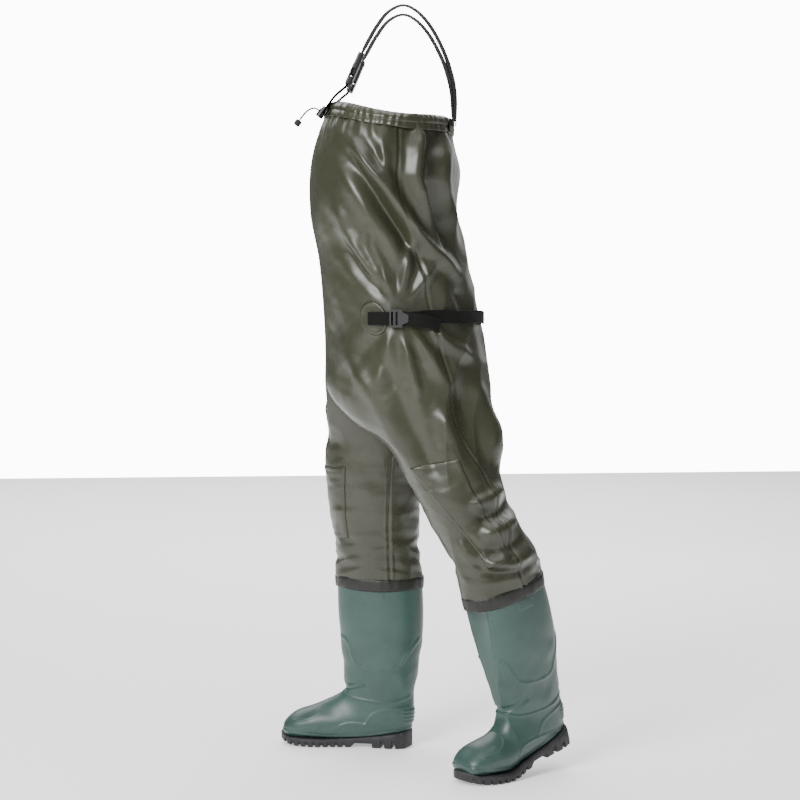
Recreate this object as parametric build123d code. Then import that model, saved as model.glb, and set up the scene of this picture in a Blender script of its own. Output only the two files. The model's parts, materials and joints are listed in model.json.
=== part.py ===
"""Chest waders with moulded boots, standing as worn in mid stride.

Millimetres, +Z up, the wearer faces -Y, the wearer's left is +X.
The origin is on the floor, under the middle of the whole garment.
"""
import os
from math import atan2, cos, degrees, radians, sin, sqrt, tan

from build123d import *

# ---------------------------------------------------------------- driving sizes
STANCE_X = -11.8             # moves the wearer's axis so that the origin is under the middle
STANCE_Y = -70.8
FABRIC = 2.0                 # coated cloth with its welds
HEM_TILT = 8.0               # the chest edge is higher in front, in degrees
HEM_Y, HEM_Z = -5.0, 1332.0  # middle of the chest edge, at the foot of the hem
HEM_HEIGHT = 30.0
HEM_HALF_WIDTH, HEM_HALF_DEPTH = 205.0, 131.0
HEM_TAPER = 0.35             # how much the half sizes shrink for each millimetre up
HEM_LEAN = 0.2               # how much the middle moves back for each millimetre up
CHEST_YAW = -6.0             # the shoulders turn a little against the hips

HIP_Y, HIP_Z, HIP_RADIUS = 30.0, 715.0, 185.0
KNEE_Z, KNEE_RADIUS = 520.0, 116.0
JOINT_GAP = 1.5
SEAM_Y = 24.0                # plane of the two outside seams

STRAP_X = 62.0               # half the distance between the shoulder straps
WEBBING = 38.0
WEBBING_THICK = 1.8
BUCKLE_Y, BUCKLE_Z, BUCKLE_LEAN = -73.0, 1448.0, 24.0
# the shoulder strap from the buckle's clip to the back of the chest edge, as y and z
STRAP_ROUTE = [(-59, 1478.5), (-46, 1504), (-29, 1533), (-6, 1562), (24, 1576), (52, 1565), (80, 1535),
               (104, 1492), (120, 1450), (129, 1405), (131, 1349)]

BELT_Z, BELT_WIDTH, BELT_THICK = 935.0, 28.0, 2.0
BELT_HALF_WIDTH, BELT_HALF_DEPTH, BELT_Y = 213.5, 167.0, 22.0
BELT_DISC_Y, BELT_DISC_WIDTH, BELT_DISC_HEIGHT = -51.0, 54.0, 68.0

CORD = 3.0                   # diameter of the drawcord
CORD_APART, CORD_HOLE = 3.2, 3.0           # the two holes through the cord lock

# height, centre y, half width, half depth of the bib
BIB_SECTIONS = [
    (790, 34, 214, 174),
    (856, 31, 212, 168),
    (956, 19, 208, 160),
    (1057, 5, 210, 155),
    (1158, -15, 220, 153),
    (1258, -10, 224, 155),
]
# height, centre x, centre y, half width, half depth, yaw of each leg
LEFT_LEG = [
    (895, 104, 38, 98, 140, 0),
    (850, 105, 42, 99, 142, 0),
    (767, 113, 58, 101, 142, 2),
    (685, 128, 92, 95, 121, 6),
    (603, 143, 118, 88, 100, 12),
    (520, 160, 155, 82, 92, 20),
    (452, 172, 192, 76, 88, 26),
]
RIGHT_LEG = [
    (895, -104, 14, 98, 138, 0),
    (850, -105, 10, 99, 138, 0),
    (767, -110, -3, 100, 132, -2),
    (685, -117, -12, 95, 116, -5),
    (603, -124, -25, 90, 102, -8),
    (520, -130, -23, 86, 96, -12),
    (440, -134, -16, 76, 90, -15),
]

# the moulded boot, in its own frame: toe towards -Y, ankle over the origin
BOOT_WALL = 3.0
BOOT_TOP = 372.0
RIM_HALF_WIDTH = 60.0
BALL_Y, BALL_Z = -125.0, 5.0
LEFT_FLEX, RIGHT_FLEX = 16.0, 0.0          # bend of the sole at the ball
LEFT_BOOT = (120.0, 299.5, 30.0)           # x, y and toe-out
RIGHT_BOOT = (-135.0, -12.6, -16.0)
# height, front y, back y, half width of the shaft and heel
SHAFT_SECTIONS = [
    (372, -91, 95, 60),
    (300, -89, 98, 60),
    (225, -83, 95, 56),
    (150, -77, 83, 45),
    (95, -78, 77, 39),
    (50, -76, 74, 37),
    (20, -66, 66, 35),
]
# y, underside, top, half width of the foot
FOOT_SECTIONS = [
    (-30, 20, 112, 36),
    (-80, 15, 112, 40),
    (-125, 13, 94, 49),
    (-165, 13, 78, 50),
    (-193, 14, 66, 43),
    (-210, 20, 50, 28),
]
# half widths of the sole on the inner and the outer side, by y
SOLE_INNER = [(50, 33), (0, 33), (-60, 34), (-125, 47), (-175, 46), (-205, 32)]
SOLE_OUTER = [(50, 34), (0, 36), (-60, 42), (-125, 52), (-175, 46), (-205, 28)]
HEEL_BACK, TOE_TIP = 74.0, -220.0
GROOVES = [(-192, 7, 5), (-166, 7, 5), (-140, 7, 5), (-114, 7, 5), (-88, 7, 5),
           (17, 9, 10), (41, 9, 10)]        # y, width and depth of the cleat grooves

os.makedirs("parts", exist_ok=True)


# ---------------------------------------------------------------- small helpers
def save(node, shape):
    """Moves a shape from the wearer's frame to the part's frame and writes it."""
    moved = Location((STANCE_X, STANCE_Y, 0)) * shape
    solids = moved.solids()
    export_step(solids[0] if len(solids) == 1 else Compound(children=list(solids)),
                f"parts/{node}.step")
    print(node, len(solids), round(sum(s.volume for s in solids)))


def oval(at, half_width, half_depth):
    return at * Ellipse(half_width, half_depth)


def slab(x0, x1, y0, y1, z0, z1):
    return Pos((x0 + x1) / 2, (y0 + y1) / 2, (z0 + z1) / 2) * Box(x1 - x0, y1 - y0, z1 - z0)


def lateral_cylinder(y, z, radius, length=900):
    """A cylinder along X, the space that a hip or a knee turns in."""
    return Pos(0, y, z) * Rot(0, 90, 0) * Cylinder(radius, length)


def tube(places, sizes, wall):
    """A thin-walled loft through ovals, open at both ends."""
    outer = loft([oval(p, a, b) for p, (a, b) in zip(places, sizes)])
    inner = loft([oval(p, a - wall, b - wall) for p, (a, b) in zip(places, sizes)])
    return outer - inner


# ---------------------------------------------------------------- bib
def hem_place(lift):
    return (Rot(0, 0, CHEST_YAW) * Pos(0, HEM_Y, HEM_Z) * Rot(-HEM_TILT, 0, 0)
            * Pos(0, HEM_LEAN * lift, lift))


def hem_sizes(lift, grow=0.0):
    return (HEM_HALF_WIDTH - HEM_TAPER * lift + grow, HEM_HALF_DEPTH - HEM_TAPER * lift + grow)


def bib_tube():
    places, sizes = [], []
    for height, y, half_width, half_depth in BIB_SECTIONS:
        share = (height - BIB_SECTIONS[0][0]) / (HEM_Z - BIB_SECTIONS[0][0])
        places.append(Pos(0, y, height) * Rot(0, 0, CHEST_YAW * share))
        sizes.append((half_width, half_depth))
    for lift in (-8, 2, 12, 21, HEM_HEIGHT):
        places.append(hem_place(lift))
        sizes.append(hem_sizes(lift))
    whole = tube(places, sizes, FABRIC)
    return whole - lateral_cylinder(HIP_Y, HIP_Z, HIP_RADIUS)


def hem_ring(inner_gap, outer_gap, low, high):
    """A band round the chest edge, between two distances outside the cloth."""
    places = [hem_place(lift) for lift in (low, high)]
    sizes = [hem_sizes(lift, outer_gap) for lift in (low, high)]
    return tube(places, sizes, outer_gap - inner_gap)


def crotch_seam():
    """The rise seam: a narrow keel from the front of the bib, under the crotch, to the back."""
    low = Spline((-126, 786), (-70, 763), (34, 752), (140, 763), (196, 786))
    high = Spline((-126, 789), (-70, 766), (34, 755), (140, 766), (196, 789))
    face = make_face([low, high, Line(low @ 0, high @ 0), Line(low @ 1, high @ 1)])
    return extrude(Plane.YZ * face, 2.5, both=True)


def panels(shell, seam_y=SEAM_Y, yaw=0.0, x=0.0):
    """The front and the back panel of a tube, parted at its two side seams."""
    front = Pos(x, seam_y, 0) * Rot(0, 0, yaw) * slab(-400, 400, -600, 0, -50, 1500)
    return shell & front, shell - front


# ---------------------------------------------------------------- legs
def boot_place(boot):
    x, y, yaw = boot
    return Pos(x, y, 0) * Rot(0, 0, yaw)


def bend(y, z, flex):
    """Where a point of the flat boot lies once the sole is bent at the ball."""
    angle = radians(flex) * min(1.0, max(0.0, (y - BALL_Y) / 50))
    dy, dz = y - BALL_Y, z - BALL_Z
    return BALL_Y + dy * cos(angle) - dz * sin(angle), BALL_Z + dy * sin(angle) + dz * cos(angle)


def rim_place(boot, flex, lift):
    """The plane across the boot's shaft, lift above its rim."""
    y, z = bend(2, BOOT_TOP + lift, flex)
    return boot_place(boot) * Pos(0, y, z) * Rot(flex, 0, 0)


def leg_tube(sections, boot, flex, grow=0.0, wall=FABRIC):
    places = [Pos(x, y, z) * Rot(0, 0, yaw) for z, x, y, _, _, yaw in sections]
    sizes = [(a + grow, b + grow) for _, _, _, a, b, _ in sections]
    places.append(rim_place(boot, flex, 1))
    sizes.append((RIM_HALF_WIDTH + 2 + grow, 95 + grow))
    return tube(places, sizes, wall)


def split_leg(whole, knee_y, crotch_z=758):
    """The thigh and the lower leg, each clear of the other as the knee turns."""
    above_hip = slab(-400, 400, -400, 500, HIP_Z, 1100) - lateral_cylinder(
        HIP_Y, HIP_Z, HIP_RADIUS - JOINT_GAP)
    inner = slab(-72, 72, -95, 160, crotch_z, 1100)
    knee = lateral_cylinder(knee_y, KNEE_Z, KNEE_RADIUS)
    knee_room = lateral_cylinder(knee_y, KNEE_Z, KNEE_RADIUS + JOINT_GAP)
    below = slab(-400, 400, -400, 500, 300, KNEE_Z)
    thigh = whole - above_hip - inner - knee_room - below
    lower = (whole & knee) + ((whole - knee) & below)
    return thigh, lower


def knee_patch(sections, boot, flex, knee, height=190.0, half_width=62.0):
    """The welded reinforcement over the front of the knee."""
    skin = leg_tube(sections, boot, flex, grow=2.2, wall=1.2)
    _, x, y, _, _, yaw = knee
    window = Pos(x, y, 530) * Rot(0, 0, yaw) * Pos(0, -200, 0) * Box(2 * half_width, 330, height)
    return skin & window


def cuff(boot, flex):
    """The band of doubled cloth welded round the top of the boot."""
    ring = Ellipse(RIM_HALF_WIDTH + 7, 99) - Ellipse(RIM_HALF_WIDTH + 3.5, 95.8)
    return rim_place(boot, flex, -22) * extrude(ring, 25)


# ---------------------------------------------------------------- boots
def boot_loft(flex, shrink):
    """The outside of the boot, or its inside when shrunk by the wall."""
    shaft, foot = [], []
    for height, front, back, half_width in SHAFT_SECTIONS:
        y, z = bend((front + back) / 2, height + (shrink if height < 30 else 0), flex)
        place = Pos(0, y, z) * Rot(flex, 0, 0)
        shaft.append(oval(place, half_width - shrink, (back - front) / 2 - shrink))
    for y0, low, top, half_width in FOOT_SECTIONS:
        y, z = bend(y0 + (shrink if y0 < -200 else 0), (low + top) / 2, flex)
        tilt = flex * min(1.0, max(0.0, (y0 - BALL_Y) / 50))
        place = Pos(0, y, z) * Rot(tilt + 90, 0, 0)
        foot.append(oval(place, half_width - shrink, (top - low) / 2 - shrink))
    return loft(shaft) + loft(foot)


def boot_upper(boot, flex):
    return boot_place(boot) * (boot_loft(flex, 0) - boot_loft(flex, BOOT_WALL))


def sole_plan(side, grow=0.0):
    """The outline of the sole from above; side is +1 for the left foot."""
    outer = [(side * (w + grow), y) for y, w in SOLE_OUTER]
    inner = [(-side * (w + grow), y) for y, w in reversed(SOLE_INNER)]
    ring = [(0, HEEL_BACK + grow)] + outer + [(0, TOE_TIP - grow)] + inner
    return make_face(Spline(*ring, periodic=True))


def sole_band(flex):
    """The side profile of the outsole, with its arch and its raised toe."""
    under = [(-230, 16), (-205, 6), (-180, 1), (-150, 0), (-60, 0), (-46, 9), (-9, 9), (-8, 0),
             (62, 0), (85, 6)]
    over = [(85, 42), (50, 34), (0, 26), (-60, 18), (-120, 14), (-180, 16), (-230, 26)]
    ring = [bend(y, z, flex) for y, z in under + over]
    return extrude(Plane.YZ * make_face(Polyline(*ring, close=True)), 80, both=True)


def outsole(boot, flex, side):
    body = Pos(0, 0, -20) * extrude(sole_plan(side), 220) & sole_band(flex)
    for y, width, depth in GROOVES:
        groove_y, groove_z = bend(y, depth / 2 - 20, flex)
        share = flex if y > BALL_Y else 0
        body -= Pos(0, groove_y, groove_z) * Rot(share, 0, 0) * Box(160, width, depth + 40)
    return boot_place(boot) * (body - boot_loft(flex, 0))


def insole(boot, flex, side):
    """The loose textile insole, on the floor of the boot."""
    low = [bend(y, z, flex) for y, z in [(52, 34), (0, 28), (-60, 25), (-120, 23), (-185, 25)]]
    high = [bend(y, z + 4, flex) for y, z in [(52, 34), (0, 28), (-60, 25), (-120, 23), (-185, 25)]]
    band = extrude(Plane.YZ * make_face(Polyline(*low, *reversed(high), close=True)), 60, both=True)
    plan = Pos(0, 0, -20) * extrude(sole_plan(side, grow=-9.0), 220)
    return boot_place(boot) * (band & plan & boot_loft(flex, BOOT_WALL + 0.6))


# ---------------------------------------------------------------- chest edge and drawcord
def drawcord_tunnel(radius, lift=20.0):
    """A cord's worth of space all round inside the hem."""
    path = (hem_place(lift) * Ellipse(*hem_sizes(lift, 4.2))).edge()
    section = Plane(path @ 0, z_dir=path % 0) * Circle(radius)
    return sweep(section, path=path)


def chest_hem():
    return hem_ring(1.2, 7.2, 0, HEM_HEIGHT) - drawcord_tunnel(CORD / 2 + 0.3)


def strap_point(y, z, x=0.0):
    """A place in the frame of the shoulders."""
    return Rot(0, 0, CHEST_YAW) * Pos(x, y, z)


def front_frame(lift=8.0):
    """On the hem at the front, over the cord's two eyelets: +X across, +Y up, +Z outwards."""
    slope = degrees(atan2(HEM_TAPER + HEM_LEAN, 1))
    return (hem_place(lift) * Pos(0, -hem_sizes(lift, 7.2)[1], 0) * Rot(90, 0, 0)
            * Rot(-slope, 0, 0))


LOCK_DROP, LOCK_STAND = 3.0, 9.5


def cord_lock():
    """The barrel, its push button and the spring between them; the button rises from the top."""
    place = front_frame() * Pos(0, -LOCK_DROP, LOCK_STAND) * Rot(-90, 0, 0)
    barrel = Cylinder(8.0, 18) - Pos(0, 0, 2) * Cylinder(6.0, 18)
    barrel = chamfer(barrel.edges().sort_by(Axis.Z)[0], 1.2)
    button = Pos(0, 0, 12.6) * Cylinder(5.6, 8.0)
    button = chamfer(button.edges().sort_by(Axis.Z)[-1], 1.0)
    spring = Pos(0, 0, -5.2) * (Cylinder(4.4, 3.0) - Cylinder(3.2, 3.0))
    hole = Pos(0, 0, CORD_HOLE) * Rot(90, 0, 0) * Cylinder(CORD / 2 + 0.4, 40)
    barrel -= Pos(CORD_APART, 0, 0) * hole + Pos(-CORD_APART, 0, 0) * hole
    return [place * piece for piece in (barrel, button, spring)]


def drawcord_end(side):
    """One end of the drawcord, out of the hem, through the barrel and down to its knot."""
    x, level = side * CORD_APART, CORD_HOLE - LOCK_DROP
    route = [(x, level, 0.4), (x, level, 15), (x, level - 1.5, 29), (side * 4.4, level - 19, 38),
             (side * 5.0, level - 41, 37)]
    points = [Vector(*point) for point in route]
    radii = []
    for before, corner, after in zip(points, points[1:], points[2:]):
        turn = (corner - before).get_angle(after - corner)
        run = min((corner - before).length, (after - corner).length)
        radii.append(0.45 * run / tan(radians(turn) / 2))
    print("drawcord radii", [round(radius, 1) for radius in radii])
    path = Wire(FilletPolyline(*route, radius=radii).edges())
    section = Plane(path @ 0, z_dir=path % 0) * Circle(CORD / 2)
    return front_frame() * sweep(section, path=path)


def cord_knot():
    """The stopper that the two ends of the drawcord are tied into."""
    level = CORD_HOLE - LOCK_DROP
    knot = fillet(Cylinder(7.0, 13).edges(), 3.0)
    return front_frame() * Pos(0, level - 48, 36.7) * Rot(90, 0, 0) * knot


# ---------------------------------------------------------------- shoulder straps
def ribbon(points, thick, width):
    """Webbing on edge: a flat strip along a smooth line in the YZ plane, centred on x = 0."""
    line = Spline(*points)
    over, under = [], []
    for step in range(25):
        point, along = line @ (step / 24), line % (step / 24)
        away = Vector(-along.Y, along.X) * (thick / 2)
        over.append(point + away)
        under.append(point - away)
    top, bottom = Spline(*over), Spline(*under)
    face = make_face([top, bottom, Line(top @ 0, bottom @ 0), Line(top @ 1, bottom @ 1)])
    return extrude(Plane.YZ * face, width / 2, both=True)


def buckle_frame(x):
    """The middle of the buckle: +X across, +Z up along the strap."""
    return strap_point(BUCKLE_Y, BUCKLE_Z, x) * Rot(-BUCKLE_LEAN, 0, 0)


def buckle_socket(x):
    shell = fillet(Box(50, 13, 44).edges().filter_by(Axis.Z), 4.0)
    shell -= Pos(0, 0, 11) * Box(41, 8, 44)
    shell -= Pos(0, 0, -16) * Box(40, 30, 3.4)
    for side in (-1, 1):
        shell -= Pos(side * 24, 0, 3) * Box(9, 8, 18)
    return buckle_frame(x) * Pos(0, 0, -15) * shell


def buckle_clip(x):
    base = fillet(Box(50, 12, 24).edges().filter_by(Axis.Z), 4.0)
    for bar in (-4.5, 5.5):
        base -= Pos(0, 0, bar) * Box(40, 30, 3.6)
    clip = Pos(0, 0, 19.6) * base
    for side in (-1, 1):
        prong = Pos(side * 15.5, 0, -4) * Box(6, 6.6, 24)
        clip += fillet(prong.edges().filter_by(Axis.Y), 1.8)
    clip += Pos(0, 0, -2) * Box(5, 5, 20)
    return buckle_frame(x) * clip


def shoulder_strap(x):
    return strap_point(0, 0, x) * ribbon(STRAP_ROUTE, WEBBING_THICK, WEBBING)


def strap_tab(x):
    """The short piece of webbing from the welded patch up to the buckle's socket."""
    route = [(-139.6, 1357.7), (-126.1, 1376.2), (-114, 1391), (-101, 1403), (-90, 1411.5)]
    return strap_point(0, 0, x) * ribbon(route, WEBBING_THICK, WEBBING)


def strap_patch(x):
    """The welded patch on the front of the hem that holds the webbing."""
    window = strap_point(-120, 1356, x) * Box(WEBBING + 16, 60, 40)
    return hem_ring(7.5, 8.7, 1, HEM_HEIGHT - 1) & window


def back_anchor(x):
    window = strap_point(120, 1336, x) * Box(WEBBING + 16, 60, 70)
    return hem_ring(7.5, 8.7, 1, HEM_HEIGHT - 1) & window


# ---------------------------------------------------------------- belt
def belt_ring(inner, outer, width):
    ring = (Ellipse(BELT_HALF_WIDTH + outer, BELT_HALF_DEPTH + outer)
            - Ellipse(BELT_HALF_WIDTH + inner, BELT_HALF_DEPTH + inner))
    return Pos(0, BELT_Y, BELT_Z - width / 2) * extrude(ring, width)


def belt_side(y):
    """A frame on the belt's line at the wearer's left: +X outwards, +Y back along the belt."""
    across = (y - BELT_Y) / BELT_HALF_DEPTH
    x = BELT_HALF_WIDTH * sqrt(1 - across * across)
    slope = -across * BELT_HALF_WIDTH / BELT_HALF_DEPTH / sqrt(1 - across * across)
    return Pos(x, y, BELT_Z) * Rot(0, 0, -degrees(atan2(slope, 1)))


def belt_anchor():
    """The oval disc welded on the left hip, with the loop of webbing that holds the buckle."""
    disc = belt_side(BELT_DISC_Y) * Rot(0, 90, 0) * extrude(
        Ellipse(BELT_DISC_HEIGHT / 2, BELT_DISC_WIDTH / 2), 1.6)
    return Pos(-1.8, 0, 0) * disc


def belt_tab():
    return belt_ring(2.8, 4.6, BELT_WIDTH - 2) & slab(100, 260, BELT_DISC_Y - 8, BELT_DISC_Y + 25,
                                                       900, 970)


def ladder_lock():
    """The tilting buckle: a frame with three bars and a lever to lift it by."""
    body = fillet(Box(5, 26, 36).edges().filter_by(Axis.X), 3.0)
    for y in (-7.5, 1.5):
        body -= Pos(0, y, 0) * Box(20, 4.2, 27)
    lever = Pos(0, 16, 0) * extrude(
        Plane.YZ * make_face(Polyline((-4, -13), (9, -7), (9, 7), (-4, 13), close=True)), 1.4,
        both=True)
    return body + Pos(1, 0, 0) * lever


LOCK_Y = BELT_DISC_Y + 40.0


def mirrored(shape):
    return mirror(shape, about=Plane.YZ)


# ---------------------------------------------------------------- the whole garment
def make_bib():
    front, back = panels(bib_tube(), yaw=CHEST_YAW)
    save("bib_front_panel", front)
    save("bib_back_panel", back)
    save("crotch_seam", crotch_seam())
    save("chest_hem", chest_hem())
    save("drawcord", drawcord_tunnel(CORD / 2))
    barrel, button, spring = cord_lock()
    save("cord_lock_barrel", barrel)
    save("cord_lock_button", button)
    save("cord_lock_spring", spring)
    save("drawcord_ends", Compound(children=[drawcord_end(1), drawcord_end(-1)]))
    save("cord_knot", cord_knot())


def make_straps():
    for side, x in (("left", STRAP_X), ("right", -STRAP_X)):
        save(f"{side}_strap_patch", strap_patch(x))
        save(f"{side}_strap_tab", strap_tab(x))
        save(f"{side}_buckle_socket", buckle_socket(x))
        save(f"{side}_buckle_clip", buckle_clip(x))
        save(f"{side}_shoulder_strap", shoulder_strap(x))
        save(f"{side}_back_anchor", back_anchor(x))


def make_belt():
    save("left_belt_anchor", belt_anchor())
    save("right_belt_anchor", mirrored(belt_anchor()))
    save("left_belt_tab", belt_tab())
    save("belt_ladder_lock", belt_side(LOCK_Y) * Pos(6.4, 0, 0) * ladder_lock())
    back = slab(-400, 400, LOCK_Y + 18, 400, 900, 970) + slab(-400, 0, BELT_DISC_Y - 8, 400, 900, 970)
    save("belt_webbing", belt_ring(2.8, 2.8 + BELT_THICK, BELT_WIDTH) & back)


def make_leg(name, side, sections, boot, flex):
    knee = [section for section in sections if section[0] == KNEE_Z][0]
    thigh, lower = split_leg(leg_tube(sections, boot, flex), knee[2])
    thigh_front, thigh_back = panels(thigh, seam_y=sections[3][2], x=sections[3][1])
    lower_front, lower_back = panels(lower, seam_y=knee[2] + 11, x=knee[1], yaw=knee[5])
    below_knee = lateral_cylinder(knee[2], KNEE_Z, KNEE_RADIUS) + slab(
        -400, 400, -400, 500, 300, KNEE_Z)
    save(f"{name}_thigh_front", thigh_front)
    save(f"{name}_thigh_back", thigh_back)
    save(f"{name}_shin_front", lower_front)
    save(f"{name}_shin_back", lower_back)
    save(f"{name}_knee_patch", knee_patch(sections, boot, flex, knee) & below_knee)
    save(f"{name}_boot_cuff", cuff(boot, flex))
    save(f"{name}_boot", boot_upper(boot, flex))
    save(f"{name}_outsole", outsole(boot, flex, side))
    save(f"{name}_insole", insole(boot, flex, side))


make_bib()
make_straps()
make_belt()
make_leg("left", 1, LEFT_LEG, LEFT_BOOT, LEFT_FLEX)
make_leg("right", -1, RIGHT_LEG, RIGHT_BOOT, RIGHT_FLEX)
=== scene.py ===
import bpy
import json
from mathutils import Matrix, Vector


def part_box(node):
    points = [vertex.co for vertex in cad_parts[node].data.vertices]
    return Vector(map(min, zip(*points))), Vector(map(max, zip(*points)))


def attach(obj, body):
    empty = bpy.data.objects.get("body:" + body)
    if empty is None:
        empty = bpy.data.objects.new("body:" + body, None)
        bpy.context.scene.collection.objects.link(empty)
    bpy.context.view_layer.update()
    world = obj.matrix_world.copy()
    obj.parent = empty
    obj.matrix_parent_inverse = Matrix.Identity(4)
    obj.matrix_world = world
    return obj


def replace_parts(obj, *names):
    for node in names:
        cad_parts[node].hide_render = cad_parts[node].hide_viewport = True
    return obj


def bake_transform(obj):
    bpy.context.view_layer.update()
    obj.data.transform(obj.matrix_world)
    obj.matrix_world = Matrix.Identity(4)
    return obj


bl_info = {
    "name": "Chest waders",
    "version": (1, 0, 0),
    "blender": (4, 5, 0),
    "location": "View3D > Sidebar > Waders",
    "description": "Builds the cloth, boots, straps and trim of a pair of chest waders round their frame",
    "category": "Object",
}

import json
from math import atan2, cos, pi, radians, sin

import bpy
import numpy as np
from mathutils import Matrix, Vector

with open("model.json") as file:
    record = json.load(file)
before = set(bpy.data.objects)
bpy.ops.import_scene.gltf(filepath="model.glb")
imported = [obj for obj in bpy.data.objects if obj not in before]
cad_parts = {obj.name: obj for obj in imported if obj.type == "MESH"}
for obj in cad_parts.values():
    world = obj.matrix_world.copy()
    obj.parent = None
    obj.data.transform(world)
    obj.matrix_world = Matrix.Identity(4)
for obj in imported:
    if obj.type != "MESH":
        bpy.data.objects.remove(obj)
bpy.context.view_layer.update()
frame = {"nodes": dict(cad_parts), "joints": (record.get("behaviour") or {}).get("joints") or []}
JOINTS = {joint["name"]: joint for joint in frame["joints"]}
SIDES = {"left": 1.0, "right": -1.0}

# The wearer stands in a frame of their own; the hip joint says where it is in the part's frame.
HIP_BEHIND_WEARER = 0.030
WEARER = Vector((sum(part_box("crotch_seam")[i][0] for i in (0, 1)) / 2,
                 JOINTS["left_hip"]["pos_m"][1] - HIP_BEHIND_WEARER, 0.0))

CHEST_YAW = radians(-6.0)
HEM_TILT = radians(8.0)
HEM_Y, HEM_Z, HEM_HEIGHT = -0.005, 1.332, 0.030
HEM_HALF = (0.205, 0.131)
HEM_TAPER, HEM_LEAN = 0.35, 0.2
CROTCH = 0.757
CHEST_TOP = 1.364             # the highest row of cloth
WAIST_TURN = 0.79             # below it the trunk isn't turned
OUTER_ARC = radians(112)      # share of a leg's circle, each way, that lies on the trunk's outside
SEAM_HALF = 0.0008            # cloth nearer the middle than this is the front or back seam
SPLIT = 0.630                 # where the thigh's cloth becomes the lower leg's cloth
AROUND = 288                  # points round a leg
ROW = 0.0044                  # height of a row of faces

# height, middle y, half width and half depth of the trunk
TRUNK = [
    (0.640, 0.036, 0.208, 0.166), (0.720, 0.036, 0.212, 0.171), (0.790, 0.034, 0.214, 0.172),
    (0.856, 0.031, 0.212, 0.168), (0.956, 0.019, 0.208, 0.160), (1.057, 0.005, 0.210, 0.155),
    (1.158, -0.015, 0.220, 0.153), (1.258, -0.010, 0.222, 0.154), (1.332, -0.005, 0.205, 0.132),
    (1.364, 0.001, 0.195, 0.121),
]
# height, middle x and y, half width, half depth, yaw and forward lean of each leg
LEGS = {
    "left": [
        (0.394, 0.172, 0.209, 0.063, 0.096, 30, 16), (0.452, 0.172, 0.192, 0.076, 0.090, 26, 9),
        (0.520, 0.160, 0.155, 0.082, 0.092, 20, 3), (0.603, 0.143, 0.118, 0.088, 0.100, 12, 0),
        (0.685, 0.128, 0.092, 0.095, 0.121, 6, 0), (0.767, 0.113, 0.058, 0.101, 0.142, 2, 0),
        (0.850, 0.105, 0.042, 0.099, 0.142, 0, 0), (0.895, 0.104, 0.038, 0.098, 0.140, 0, 0),
    ],
    "right": [
        (0.373, -0.134, -0.012, 0.063, 0.096, -16, 0), (0.440, -0.134, -0.016, 0.076, 0.090, -15, 0),
        (0.520, -0.130, -0.023, 0.086, 0.096, -12, 0), (0.603, -0.124, -0.025, 0.090, 0.102, -8, 0),
        (0.685, -0.117, -0.012, 0.095, 0.116, -5, 0), (0.767, -0.110, -0.003, 0.100, 0.132, -2, 0),
        (0.850, -0.105, 0.010, 0.099, 0.138, 0, 0), (0.895, -0.104, 0.014, 0.098, 0.138, 0, 0),
    ],
}
# the boots: x, y, toe-out and the bend of the sole at the ball of the foot
BOOTS = {"left": (0.120, 0.2995, 30, 16), "right": (-0.135, -0.0126, -16, 0)}
BALL = (-0.125, 0.005)
# instep or front point, heel or sole point (y, z), half width
BOOT_RUNGS = [
    ((-0.091, 0.372), (0.095, 0.372), 0.060), ((-0.089, 0.300), (0.098, 0.300), 0.060),
    ((-0.084, 0.240), (0.096, 0.238), 0.057), ((-0.079, 0.186), (0.088, 0.180), 0.050),
    ((-0.076, 0.140), (0.078, 0.118), 0.043), ((-0.081, 0.121), (0.077, 0.066), 0.039),
    ((-0.095, 0.109), (0.060, 0.026), 0.039), ((-0.116, 0.098), (0.004, 0.018), 0.043),
    ((-0.140, 0.088), (-0.062, 0.015), 0.048), ((-0.165, 0.078), (-0.124, 0.013), 0.051),
    ((-0.190, 0.067), (-0.172, 0.013), 0.047), ((-0.206, 0.053), (-0.200, 0.017), 0.035),
    ((-0.2115, 0.041), (-0.2105, 0.028), 0.016),
]
# Folds of the cloth on the outer sides: (y, z) points, height and width of the crest.
# A negative height is a valley.
TRUNK_FOLDS = [
    ([(-0.107, 1.322), (-0.061, 1.258), (-0.015, 1.194), (0.027, 1.126), (0.077, 1.068), (0.145, 1.008)],
     0.0105, 0.013),
    ([(-0.086, 1.255), (-0.030, 1.160), (0.012, 1.105), (0.050, 1.035)], -0.0085, 0.014),
    ([(-0.025, 1.285), (-0.012, 1.230), (0.006, 1.182)], 0.0050, 0.010),
    ([(0.060, 1.330), (0.045, 1.220), (0.070, 1.140), (0.110, 1.050)], 0.0062, 0.013),
    ([(0.086, 1.330), (0.074, 1.210), (0.095, 1.130), (0.130, 1.050)], -0.0110, 0.013),
    ([(0.112, 1.300), (0.104, 1.190), (0.120, 1.100)], 0.0060, 0.012),
    ([(-0.128, 1.190), (-0.100, 1.110), (-0.060, 1.040), (-0.026, 0.975)], 0.0055, 0.012),
    ([(-0.113, 1.092), (-0.070, 1.030), (-0.022, 0.972)], -0.0050, 0.010),
    ([(-0.060, 1.110), (-0.030, 1.040), (-0.012, 0.980)], 0.0048, 0.009),
    ([(0.037, 1.100), (0.020, 1.030), (0.006, 0.972)], 0.0046, 0.009),
    ([(0.085, 1.060), (0.050, 1.005), (0.015, 0.965)], 0.0042, 0.010),
    ([(-0.013, 0.920), (-0.030, 0.850), (-0.055, 0.780)], 0.0030, 0.012),
    ([(0.007, 0.916), (0.018, 0.845), (0.036, 0.770)], 0.0048, 0.010),
    ([(0.021, 0.920), (0.060, 0.860), (0.092, 0.800)], 0.0050, 0.011),
    ([(-0.035, 0.915), (-0.075, 0.860), (-0.105, 0.800)], -0.0022, 0.014),
    ([(0.060, 0.915), (0.110, 0.880), (0.160, 0.850)], 0.0045, 0.011),
    ([(0.120, 1.000), (0.140, 0.960), (0.150, 0.915)], -0.0040, 0.012),
]
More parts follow.
